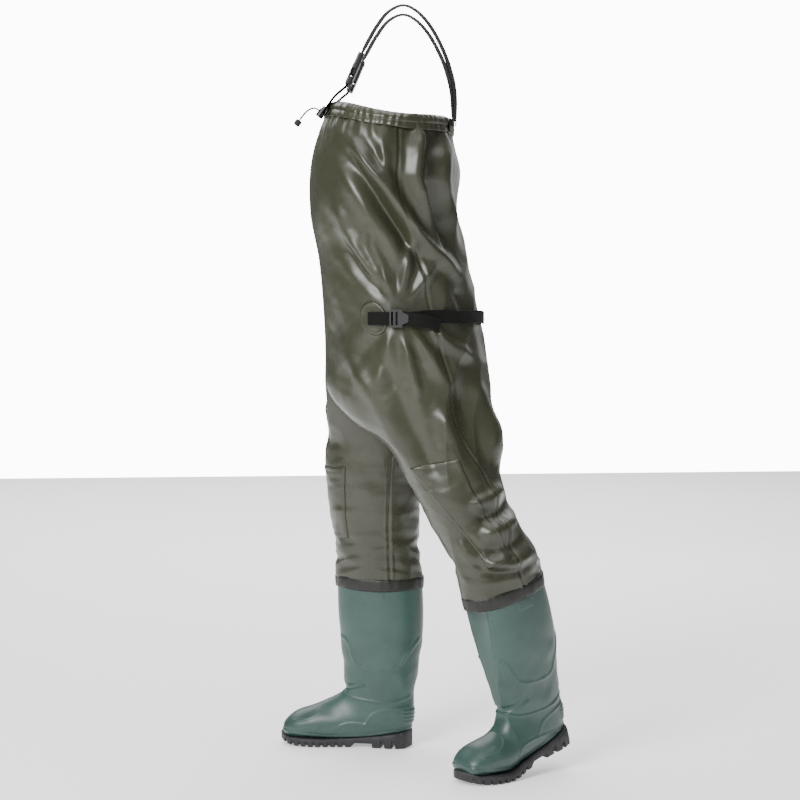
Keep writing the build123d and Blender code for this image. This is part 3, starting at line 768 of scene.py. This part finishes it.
def line_height(y, z, line, width):
    """A moulded line: near 1 on it, 0 elsewhere."""
    best = np.full(y.shape, 1e9)
    for (ay, az), (by, bz) in zip(line[:-1], line[1:]):
        length = np.hypot(by - ay, bz - az)
        t = np.clip(((y - ay) * (by - ay) + (z - az) * (bz - az)) / length**2, 0, 1)
        best = np.minimum(best, np.hypot(y - ay - t * (by - ay), z - az - t * (bz - az)))
    return np.exp(-(best / width) ** 4)


def arc(points, count=24):
    """A smooth line through a few points."""
    table = [(index, *point) for index, point in enumerate(points)]
    return smooth_lookup(table, np.linspace(0, len(points) - 1, count))


MOULDED_LINES = [
    (arc([(-0.080, 0.243), (-0.062, 0.232), (-0.042, 0.184), (0.000, 0.170), (0.042, 0.172),
          (0.066, 0.202), (0.092, 0.240)]), 0.0020, 0.0026),
    (arc([(-0.082, 0.128), (-0.050, 0.110), (0.000, 0.104), (0.050, 0.105), (0.086, 0.122)]),
     0.0020, 0.0026),
    (arc([(-0.090, 0.040), (-0.062, 0.054), (-0.010, 0.051), (0.050, 0.038)]), 0.0012, 0.0028),
    (arc([(-0.024, 0.052), (-0.004, 0.076), (0.028, 0.086), (0.070, 0.090)]), 0.0013, 0.0028),
    (arc([(-0.118, 0.096), (-0.128, 0.076), (-0.150, 0.062), (-0.182, 0.056)]), 0.0009, 0.0030),
]


KICK_RIBS = (0.058, 0.066, 0.074, 0.082)       # heights of the ribs behind the heel
RIM_BARS = (0.334, 0.341, 0.348)               # heights of the short bars under the rim
BOOT_WALL = 0.0026


def foxing_top(y):
    return np.interp(y, [-0.21, -0.16, -0.10, -0.02, 0.04, 0.08], [0.040, 0.031, 0.027, 0.031, 0.041, 0.050])


def make_boot(name):
    """The moulded boot: one skin from its rim down the shaft, round the heel and out to the toe."""
    rungs = np.array([[*front, *back, half] for front, back, half in BOOT_RUNGS])
    count, rows = 204, 228
    table = [(index, *row) for index, row in enumerate(rungs)]
    along = np.linspace(0, len(rungs) - 1, rows)
    spread = smooth_lookup(table, along)
    angle = np.linspace(0, 2 * pi, count, endpoint=False)

    def skin(at, turn):
        front, back, half = at[..., 0:2], at[..., 2:4], at[..., 4]
        middle, reach = (front + back) / 2, (back - front) / 2
        flatter = np.abs(np.cos(turn)) ** 0.9 * np.sign(np.cos(turn))
        yz = middle + reach * np.sin(turn)[..., None]
        return np.concatenate([(half * flatter)[..., None], yz], axis=-1)

    grid = np.repeat(spread[:, None, :], count, axis=1)
    turn = np.repeat(angle[None, :], rows, axis=0)
    points = skin(grid, turn)
    around = np.roll(points, -1, axis=1) - np.roll(points, 1, axis=1)
    normal = unit(np.cross(around, np.gradient(points, axis=0)))
    middle = points.mean(axis=1, keepdims=True)
    if ((points - middle) * normal).sum() < 0:
        normal = -normal
    y, z = points[..., 1], points[..., 2]
    lateral = ease((np.abs(points[..., 0]) - 0.010) / 0.012)
    lift = np.zeros(y.shape)
    for line, height, width in MOULDED_LINES:
        lift += height * line_height(y, z, line, width) * lateral
    band = ease((foxing_top(y) - z) / 0.0022)
    lift += 0.0012 * band + 0.0009 * np.exp(-((z - foxing_top(y) + 0.004) / 0.0016) ** 2)
    for level in KICK_RIBS:
        lift += 0.0026 * np.exp(-((z - level) / 0.0026) ** 2) * ease((y - 0.052) / 0.010)
    for level in RIM_BARS:
        lift += 0.0018 * np.exp(-((z - level) / 0.0022) ** 2) * (np.abs(y - 0.004) < 0.019) * lateral
    lift += 0.0013 * np.exp(-((z - 0.3685) / 0.0035) ** 4)
    crease = ease((0.155 - np.abs(z - 0.155)) / 0.155)
    lift += crease * 0.0016 * ripple(points * np.array([1, 1, 1.6]), 0.075, 91, 2) * (1 - band)
    lift -= 0.0030 * line_height(y, z, arc([(-0.090, 0.128), (-0.060, 0.132), (-0.030, 0.142)]), 0.006)
    toe_fade = np.minimum(1, (len(rungs) - 1 - along) / 0.8)[:, None]
    points = points + normal * (lift * toe_fade)[..., None]
    tip = points[-1].mean(axis=0, keepdims=True)
    placed = boot_to_part(name, np.concatenate([points.reshape(-1, 3), tip]))
    faces = lattice_faces(rows, count)
    last = (rows - 1) * count
    faces += [(last + c, last + (c + 1) % count, rows * count) for c in range(count)]
    boot = new_piece(f"{name}_moulded_boot", placed, faces)
    face_out(boot)
    add_modifier(boot, "SOLIDIFY", thickness=BOOT_WALL, offset=-1.0)
    finish_piece(boot, materials()["Moulded boot"], f"{name}_lower_leg")
    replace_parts(boot, f"{name}_boot")


def face_out(piece):
    """Turns an open skin's faces so that they look away from its middle."""
    mesh = piece.data
    centre = sum((v.co for v in mesh.vertices), Vector()) / len(mesh.vertices)
    votes = sum((polygon.center - centre).dot(polygon.normal) * polygon.area for polygon in mesh.polygons)
    if votes < 0:
        mesh.flip_normals()


SOLE_INNER = [(0.074, 0.002), (0.066, 0.022), (0.050, 0.033), (0.0, 0.034), (-0.060, 0.035), (-0.100, 0.042),
              (-0.125, 0.047), (-0.175, 0.046), (-0.205, 0.030), (-0.2205, 0.002)]
SOLE_OUTER = [(0.074, 0.002), (0.066, 0.023), (0.050, 0.034), (0.0, 0.037), (-0.060, 0.043), (-0.100, 0.050),
              (-0.125, 0.053), (-0.175, 0.047), (-0.205, 0.028), (-0.2205, 0.002)]
SOLE_MIDDLE, SOLE_HALF = -0.0713, 0.1453      # along the sole
CLEATS = [-0.200, -0.184, -0.168, -0.152, -0.136, -0.120, -0.104, -0.088, -0.072]
HEEL_NOTCHES = [0.014, 0.038]


def make_outsole(name):
    """The cleated outsole with its arch and heel, as loops from heel to toe."""
    side = SIDES[name]
    rows = 330
    phase = np.linspace(-pi / 2, pi / 2, rows)
    y = SOLE_MIDDLE + SOLE_HALF * -np.sin(phase) * 0.9995
    outer = smooth_lookup(SOLE_OUTER, y)[:, 0]
    inner = smooth_lookup(SOLE_INNER, y)[:, 0]
    tips = np.clip(1 - ((y - SOLE_MIDDLE) / SOLE_HALF) ** 2, 0, 1)
    cap = np.sqrt(tips) * 0.2
    outer, inner = np.minimum(outer, cap), np.minimum(inner, cap)
    top = np.interp(y, [-0.2205, -0.19, -0.12, -0.06, 0.0, 0.05, 0.075],
                    [0.029, 0.020, 0.018, 0.020, 0.026, 0.034, 0.040])
    floor = np.interp(y, [-0.2205, -0.205, -0.18, -0.15, -0.058, -0.048, -0.010, -0.009, 0.060, 0.075],
                      [0.012, 0.006, 0.0012, 0, 0, 0.009, 0.009, 0, 0, 0.004])
    across = np.linspace(-1, 1, 44)
    loops = []
    for row, place in enumerate(y):
        cleat = min(abs(place - c) for c in CLEATS)
        forefoot = -0.208 < place < -0.060
        depth = 0.0
        if forefoot:
            depth = 0.0042 * float(ease((0.0036 - cleat) / 0.0010))
        notch = min(abs(place - c) for c in HEEL_NOTCHES)
        depth = max(depth, 0.0085 * float(ease((0.0044 - notch) / 0.0010)) * (place > 0))
        half_out, half_in = outer[row], inner[row]
        low = floor[row]
        under = []
        for t in across:
            x = half_out * t if t > 0 else half_in * t
            middle = 0.0034 * float(ease((0.0045 - abs(x)) / 0.0012)) * forefoot
            rim = 0.0012 * float(ease((abs(t) - 0.93) / 0.07))
            under.append((x, min(low + max(depth, middle) + rim, top[row] - 0.002)))
        pull = 0.0016 * (depth > 0.002)
        rise = top[row]
        walls = [(0.0002 - pull, 0.12), (0.0010 - pull, 0.3), (0.0012, 0.55), (0.0012, 0.78),
                 (0.0004, 0.93), (-0.0012, 1.0)]
        base = under[-1][1]
        right = [(half_out + min(o, half_out), base + (rise - base) * s) for o, s in walls]
        left = [(-half_in - min(o, half_in), under[0][1] + (rise - under[0][1]) * s)
                for o, s in reversed(walls)]
        loops.append([(side * x, place, z) for x, z in under + right + left])
    loops = np.array(loops)
    rows, columns = loops.shape[:2]
    sole = new_piece(f"{name}_cleated_sole", boot_to_part(name, loops.reshape(-1, 3)),
                     capped_faces(rows, columns))
    outward_normals(sole)
    only(sole)
    bpy.ops.object.shade_smooth_by_angle(angle=radians(38))
    finish_piece(sole, materials()["Sole rubber"], f"{name}_lower_leg")
    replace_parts(sole, f"{name}_outsole")


# ------------------------------------------------------------------ webbing
WEBBING_THICK = 0.0018
STRAP_WIDTH, BELT_WIDTH = 0.038, 0.026


def webbing(name, path, across, width, thickness=WEBBING_THICK):
    """Flat webbing along a path; across gives the direction of its width at each point."""
    path, across = np.array(path, dtype=float), np.array(across, dtype=float)
    along = unit(np.gradient(path, axis=0))
    across = unit(across - (across * along).sum(axis=1, keepdims=True) * along)
    thick = np.cross(along, across)
    half, deep = width / 2, thickness / 2
    ring = [(-half, 0), (-half + 0.0006, -deep), (-half + 0.0020, -deep * 0.9), (-half / 2, -deep * 0.82),
            (0, -deep * 0.82), (half / 2, -deep * 0.82), (half - 0.0020, -deep * 0.9), (half - 0.0006, -deep),
            (half, 0), (half - 0.0006, deep), (half - 0.0020, deep * 0.9), (half / 2, deep * 0.82),
            (0, deep * 0.82), (-half / 2, deep * 0.82), (-half + 0.0020, deep * 0.9), (-half + 0.0006, deep)]
    points = np.array([[p + a * u + t * v for u, v in ring] for p, a, t in zip(path, across, thick)])
    rows, columns = points.shape[:2]
    strap = new_piece(name, points.reshape(-1, 3), capped_faces(rows, columns))
    outward_normals(strap)
    distance = np.concatenate([[0], np.cumsum(np.linalg.norm(np.diff(path, axis=0), axis=1))])
    layout = strap.data.uv_layers.new(name="UVMap")
    for loop in strap.data.loops:
        row, column = divmod(loop.vertex_index, columns)
        layout.data[loop.index].uv = (ring[column][0], distance[row])
    return strap


STRAP_X = 0.062
STRAP_ROUTE = [(-0.066, 1.462), (-0.059, 1.4785), (-0.046, 1.504), (-0.029, 1.533), (-0.006, 1.562),
               (0.024, 1.576), (0.052, 1.565), (0.080, 1.535), (0.104, 1.492), (0.120, 1.450),
               (0.130, 1.405), (0.1325, 1.349), (0.1335, 1.331)]
TAB_ROUTE = [(-0.1415, 1.3545), (-0.127, 1.3755), (-0.115, 1.391), (-0.1015, 1.403), (-0.0905, 1.4125),
             (-0.0835, 1.424)]


def shoulder_to_part(points, x):
    """From the frame of one strap, its side view, to the part."""
    flat = np.array([[x + p[2] if len(p) > 2 else x, p[0], p[1]] for p in points])
    out = flat.copy()
    out[:, 0] = flat[:, 0] * cos(CHEST_YAW) - flat[:, 1] * sin(CHEST_YAW)
    out[:, 1] = flat[:, 0] * sin(CHEST_YAW) + flat[:, 1] * cos(CHEST_YAW)
    return out + np.array(WEARER)


def make_strap(name):
    x = SIDES[name] * STRAP_X
    line = arc(STRAP_ROUTE, 150)
    share = np.linspace(0, 1, len(line))
    twist = radians(15) * ease(share / 0.15) * ease((1 - share) / 0.15)
    path = shoulder_to_part(line, x)
    along = unit(np.gradient(path, axis=0))
    flat = np.tile([cos(CHEST_YAW), sin(CHEST_YAW), 0.0], (len(path), 1))
    up = np.cross(along, flat)
    across = flat * np.cos(twist)[:, None] + up * np.sin(twist)[:, None]
    strap = webbing(f"{name}_strap_webbing", path, across, STRAP_WIDTH)
    finish_piece(strap, materials()["Webbing"])
    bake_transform(strap)
    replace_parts(strap, f"{name}_shoulder_strap")
    tab_path = shoulder_to_part(arc(TAB_ROUTE, 40), x)
    tab = webbing(f"{name}_tab_webbing", tab_path, np.tile(flat[0], (40, 1)), STRAP_WIDTH)
    finish_piece(tab, materials()["Webbing"], "bib")
    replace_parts(tab, f"{name}_strap_tab")


BELT_HEIGHT, BELT_OVAL, BELT_MIDDLE = 0.935, (0.2135, 0.167), 0.022
DISC_ANGLE = -33.0


def belt_point(angle, height, offset):
    return np.array([(BELT_OVAL[0] + offset) * cos(angle), BELT_MIDDLE + (BELT_OVAL[1] + offset) * sin(angle),
                     height])


def belt_band(name, path, up=(0, 0, 1.0)):
    """Belt webbing along a path, upright unless told otherwise."""
    across = np.broadcast_to(up, (len(path), 3))
    band = webbing(name, place_in_part(np.array(path)), across, BELT_WIDTH)
    return finish_piece(band, materials()["Webbing"], "bib")


def make_belt():
    """The belt from the left buckle round the back to the right hip, and its loose tail."""
    path = []
    for a in np.linspace(radians(-9), radians(208), 180):
        wave = 0.0022 * sin(3.1 * a + 0.4) + 0.0012 * sin(7.3 * a)
        path.append(belt_point(a, BELT_HEIGHT + 0.004 * sin(a) + wave, 0.0042 + 0.001 * sin(5 * a)))
    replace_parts(belt_band("rear_belt", path), "belt_webbing")
    turns = np.linspace(0, 1, 40)
    tail = [belt_point(radians(-6 + 24 * t), BELT_HEIGHT - 0.004 * t - 0.009 * t * t,
                       0.0072 + 0.005 * sin(pi * t * 0.9)) for t in turns]
    belt_band("belt_tail", tail, [[0.25 * sin(pi * t), 0, 1.0] for t in turns])
    steps = np.linspace(radians(-31), radians(-13), 20)
    tab = belt_band("belt_tab_webbing", [belt_point(a, BELT_HEIGHT, 0.0040) for a in steps])
    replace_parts(tab, "left_belt_tab")


def make_belt_disc(name):
    """The oval patch welded on the hip, with its raised rim."""
    side = SIDES[name]
    rings, count = 16, 96
    reach, turn = np.meshgrid(np.linspace(0.02, 1, rings),
                              np.linspace(0, 2 * pi, count, endpoint=False), indexing="ij")
    angle = np.radians(DISC_ANGLE + 13.2 * reach * np.cos(turn))
    height = BELT_HEIGHT + 0.034 * reach * np.sin(turn)
    points = garment_points(side, angle, height)
    normal = skin_normals(side, angle, height, 0.004)
    lift = fold_height(side, points, (normal[..., 0] + 1) / 2)
    dome = 0.0022 + 0.0009 * np.exp(-((reach - 0.88) / 0.06) ** 2) - 0.0012 * ease((reach - 0.93) / 0.07)
    points = turn_shoulders(points + normal * (lift + dome)[..., None], height)
    faces = lattice_faces(rings, count) + [tuple(range(count))[::-1]]
    disc = new_piece(f"{name}_hip_disc", place_in_part(points).reshape(-1, 3), faces)
    face_out_along(disc, side)
    add_modifier(disc, "SOLIDIFY", thickness=0.0014, offset=-1.0)
    finish_piece(disc, materials()["Coated cloth"], "bib")
    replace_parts(disc, f"{name}_belt_anchor")


def face_out_along(piece, side):
    mesh = piece.data
    votes = sum(polygon.normal.x * polygon.area for polygon in mesh.polygons)
    if votes * side < 0:
        mesh.flip_normals()


# ------------------------------------------------------------------ drawcord
def hem_front_matrix(lift=8.0):
    """Over the cord's eyelets on the front of the hem: X across, Y up, Z outwards."""
    lift = lift / 1000
    slope = atan2(HEM_TAPER + HEM_LEAN, 1)
    depth = HEM_HALF[1] - HEM_TAPER * lift + 0.0072
    return (Matrix.Translation(WEARER) @ Matrix.Rotation(CHEST_YAW, 4, "Z")
            @ Matrix.Translation((0, HEM_Y, HEM_Z))
            @ Matrix.Rotation(-HEM_TILT, 4, "X") @ Matrix.Translation((0, HEM_LEAN * lift, lift))
            @ Matrix.Translation((0, -depth, 0)) @ Matrix.Rotation(pi / 2, 4, "X")
            @ Matrix.Rotation(-slope, 4, "X"))


CORD_THICK, CORD_LENGTH = 0.003, 0.066


def make_drawcord():
    """The drawcord's two ends, from the hem through the barrel to their knot."""
    place = hem_front_matrix()
    for side in (1, -1):
        route = [(side * 3.2, 0, 0.4), (side * 3.2, 0, 15), (side * 3.2, -1.5, 29), (side * 4.4, -19, 38),
                 (side * 5.0, -41, 37)]
        data = bpy.data.curves.new(f"drawcord_end_{'left' if side > 0 else 'right'}", "CURVE")
        data.dimensions = "3D"
        data.bevel_depth = CORD_THICK / 2
        data.bevel_resolution = 5
        data.resolution_u = 10
        data.use_fill_caps = True
        spline = data.splines.new("NURBS")
        spline.points.add(len(route) - 1)
        for point, (x, y, z) in zip(spline.points, route):
            point.co = (*(place @ Vector((x / 1000, y / 1000, z / 1000))), 1)
        spline.order_u = 3
        spline.use_endpoint_u = True
        cord = add_object(data.name, data)
        cord.data.materials.append(materials()["Cord"])
        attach(cord, "bib")
        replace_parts(cord, "drawcord_ends")


# ------------------------------------------------------------------ what stays from the frame
KEPT_FINISHES = {
    "left_buckle_socket": "Black plastic", "right_buckle_socket": "Black plastic",
    "left_buckle_clip": "Black plastic", "right_buckle_clip": "Black plastic",
    "cord_lock_barrel": "Black plastic", "cord_lock_button": "Black plastic",
    # The ladder lock takes the lighter copy of black plastic: painted highlight.
    "belt_ladder_lock": "Grey plastic", "cord_knot": "Cord", "cord_lock_spring": "Spring steel",
    "left_insole": "Insole felt", "right_insole": "Insole felt",
    "left_strap_patch": "Welded trim", "right_strap_patch": "Welded trim",
    "left_back_anchor": "Welded trim", "right_back_anchor": "Welded trim",
}


def finish_kept_nodes():
    made = materials()
    for node, finish in KEPT_FINISHES.items():
        slots = frame["nodes"][node].material_slots
        for slot in slots:
            slot.material = made[finish]


# ------------------------------------------------------------------ stage
# name, place, size in metres and power in watts
STUDIO_LIGHTS = [("key", (3.0, -2.4, 2.6), 1.6, 230), ("fill", (3.6, 2.4, 1.8), 2.0, 12),
                 ("top", (0.2, 0.0, 4.0), 2.5, 90), ("back", (-3.0, 1.5, 2.2), 2.4, 20)]
LIGHTS_AIM = Vector((0, 0, 0.8))


def add_lamp(name, place, size, power):
    light = bpy.data.lights.new(name, "AREA")
    light.size = size
    light.energy = power
    lamp = add_object(name, light)
    lamp.location = place
    return lamp


def make_stage():
    """The floor, the camera on the wearer's left, the lamps and the white surroundings."""
    bpy.ops.object.select_all(action="DESELECT")
    bpy.ops.mesh.primitive_plane_add(size=14, location=(0, 0, -0.0005))
    floor = bpy.context.object
    floor.name = "floor"
    bpy.ops.object.transform_apply(location=True, rotation=True, scale=True)
    paint = bpy.data.materials.new("Pale floor")
    paint.use_nodes = True
    shader = paint.node_tree.nodes["Principled BSDF"]
    shader.inputs["Base Color"].default_value = (0.9, 0.9, 0.9, 1)
    shader.inputs["Emission Color"].default_value = (1, 1, 1, 1)
    shader.inputs["Emission Strength"].default_value = 0.5
    shader.inputs["Roughness"].default_value = 0.9
    floor.data.materials.append(paint)
    settings = bpy.context.scene.waders_stage
    azimuth, away = settings.azimuth, settings.distance
    axis = Vector((WEARER.x, WEARER.y, settings.camera_height))
    camera = add_object("camera", bpy.data.cameras.new("camera"))
    camera.data.lens = settings.lens
    camera.location = axis + Vector((sin(azimuth), -cos(azimuth), 0)) * away
    aim = axis + Vector((cos(azimuth), sin(azimuth), 0)) * 0.019 - Vector((0, 0, settings.aim_drop))
    camera.rotation_euler = (aim - camera.location).to_track_quat("-Z", "Y").to_euler()
    bpy.context.scene.camera = camera
    for name, place, size, power in STUDIO_LIGHTS:
        lamp = add_lamp(name, place, size, power)
        lamp.rotation_euler = (LIGHTS_AIM - Vector(place)).to_track_quat("-Z", "Y").to_euler()
    add_lamp("sweep", (-4.8, 0, 3.6), 6.0, 420)
    world = bpy.data.worlds.new("studio")
    world.use_nodes = True
    tree = world.node_tree
    soft = tree.nodes["Background"]
    soft.inputs["Color"].default_value = (1, 1, 1, 1)
    soft.inputs["Strength"].default_value = 0.16
    seen = add_node(tree, "ShaderNodeBackground", {"Color": (1, 1, 1, 1), "Strength": 12.0})
    rays = add_node(tree, "ShaderNodeLightPath", {})
    mix = add_node(tree, "ShaderNodeMixShader", {"Fac": rays.outputs["Is Camera Ray"],
                                                 1: soft.outputs["Background"],
                                                 2: seen.outputs["Background"]})
    tree.links.new(mix.outputs["Shader"], tree.nodes["World Output"].inputs["Surface"])
    bpy.context.scene.world = world


# ------------------------------------------------------------------ add-on
def colour_property(name, text, default):
    return bpy.props.FloatVectorProperty(name=name, description=text, subtype="COLOR", default=default,
                                         min=0, max=1)


class WadersColours(bpy.types.PropertyGroup):
    cloth: colour_property("Cloth", "Colour of the coated cloth", (0.031, 0.0325, 0.018))
    boot: colour_property("Boot", "Colour of the moulded boots", (0.029, 0.066, 0.056))
    sole: colour_property("Sole", "Colour of the outsoles", (0.016, 0.016, 0.018))


class WadersStage(bpy.types.PropertyGroup):
    azimuth: bpy.props.FloatProperty(name="Azimuth", description="Side the camera stands on", subtype="ANGLE",
                                     default=radians(84))
    distance: bpy.props.FloatProperty(name="Distance", description="From the wearer's middle", unit="LENGTH",
                                      default=4.0)
    camera_height: bpy.props.FloatProperty(name="Camera height", description="Above the floor", unit="LENGTH",
                                           default=0.95)
    aim_drop: bpy.props.FloatProperty(name="Aim drop", description="How far below it the camera aims",
                                      unit="LENGTH", default=0.187)
    lens: bpy.props.FloatProperty(name="Lens", description="Focal length in millimetres", default=85.7)


def piece_operator(name, label, text, build):
    """An operator class that runs one building function."""
    def execute(self, context):
        build()
        return {"FINISHED"}
    members = {"bl_idname": f"waders.{name}", "bl_label": label, "__doc__": text, "execute": execute,
               "bl_options": {"REGISTER", "UNDO"}}
    return type(f"WADERS_OT_{name}", (bpy.types.Operator,), members)


def both(build):
    return lambda: [build(name) for name in SIDES]


OPERATORS = [
    piece_operator("stage", "Stage", "Adds the floor, lights and camera", make_stage),
    piece_operator("drawcord", "Drawcord", "Adds the drawcord's two ends", make_drawcord),
    piece_operator("cloth", "Cloth", "Builds the folded cloth of both halves", both(make_cloth)),
    piece_operator("hem", "Chest hem", "Builds the turned chest edge", make_hem),
    piece_operator("knees", "Knee guards", "Builds the welded knee patches", both(make_knee_patch)),
    piece_operator("cuffs", "Cuffs", "Builds the bands over the boots' rims", both(make_cuff)),
    piece_operator("boots", "Boots", "Builds the moulded boots", both(make_boot)),
    piece_operator("soles", "Soles", "Builds the cleated outsoles", both(make_outsole)),
    piece_operator("straps", "Straps", "Builds the shoulder straps and their tabs", both(make_strap)),
    piece_operator("belt", "Belt", "Builds the rear belt and its tail", make_belt),
    piece_operator("discs", "Hip discs", "Builds the discs the belt is fixed to", both(make_belt_disc)),
    piece_operator("finishes", "Finishes", "Gives the kept hardware its finishes", finish_kept_nodes),
]


class WADERS_PT_panel(bpy.types.Panel):
    """Lists the steps that build the waders"""
    bl_label = "Chest waders"
    bl_space_type = "VIEW_3D"
    bl_region_type = "UI"
    bl_category = "Waders"

    def draw(self, context):
        for name in ("cloth", "boot", "sole"):
            self.layout.prop(context.scene.waders_colours, name)
        for operator in OPERATORS:
            self.layout.operator(operator.bl_idname)


CLASSES = [WadersColours, WadersStage, *OPERATORS, WADERS_PT_panel]


def register():
    for one in CLASSES:
        bpy.utils.register_class(one)
    bpy.types.Scene.waders_colours = bpy.props.PointerProperty(type=WadersColours)
    bpy.types.Scene.waders_stage = bpy.props.PointerProperty(type=WadersStage)


def unregister():
    del bpy.types.Scene.waders_stage
    del bpy.types.Scene.waders_colours
    for one in reversed(CLASSES):
        bpy.utils.unregister_class(one)


def main():
    register()
    for operator in OPERATORS:
        getattr(bpy.ops.waders, operator.bl_idname.split(".")[1])()


if __name__ == "__main__":
    main()
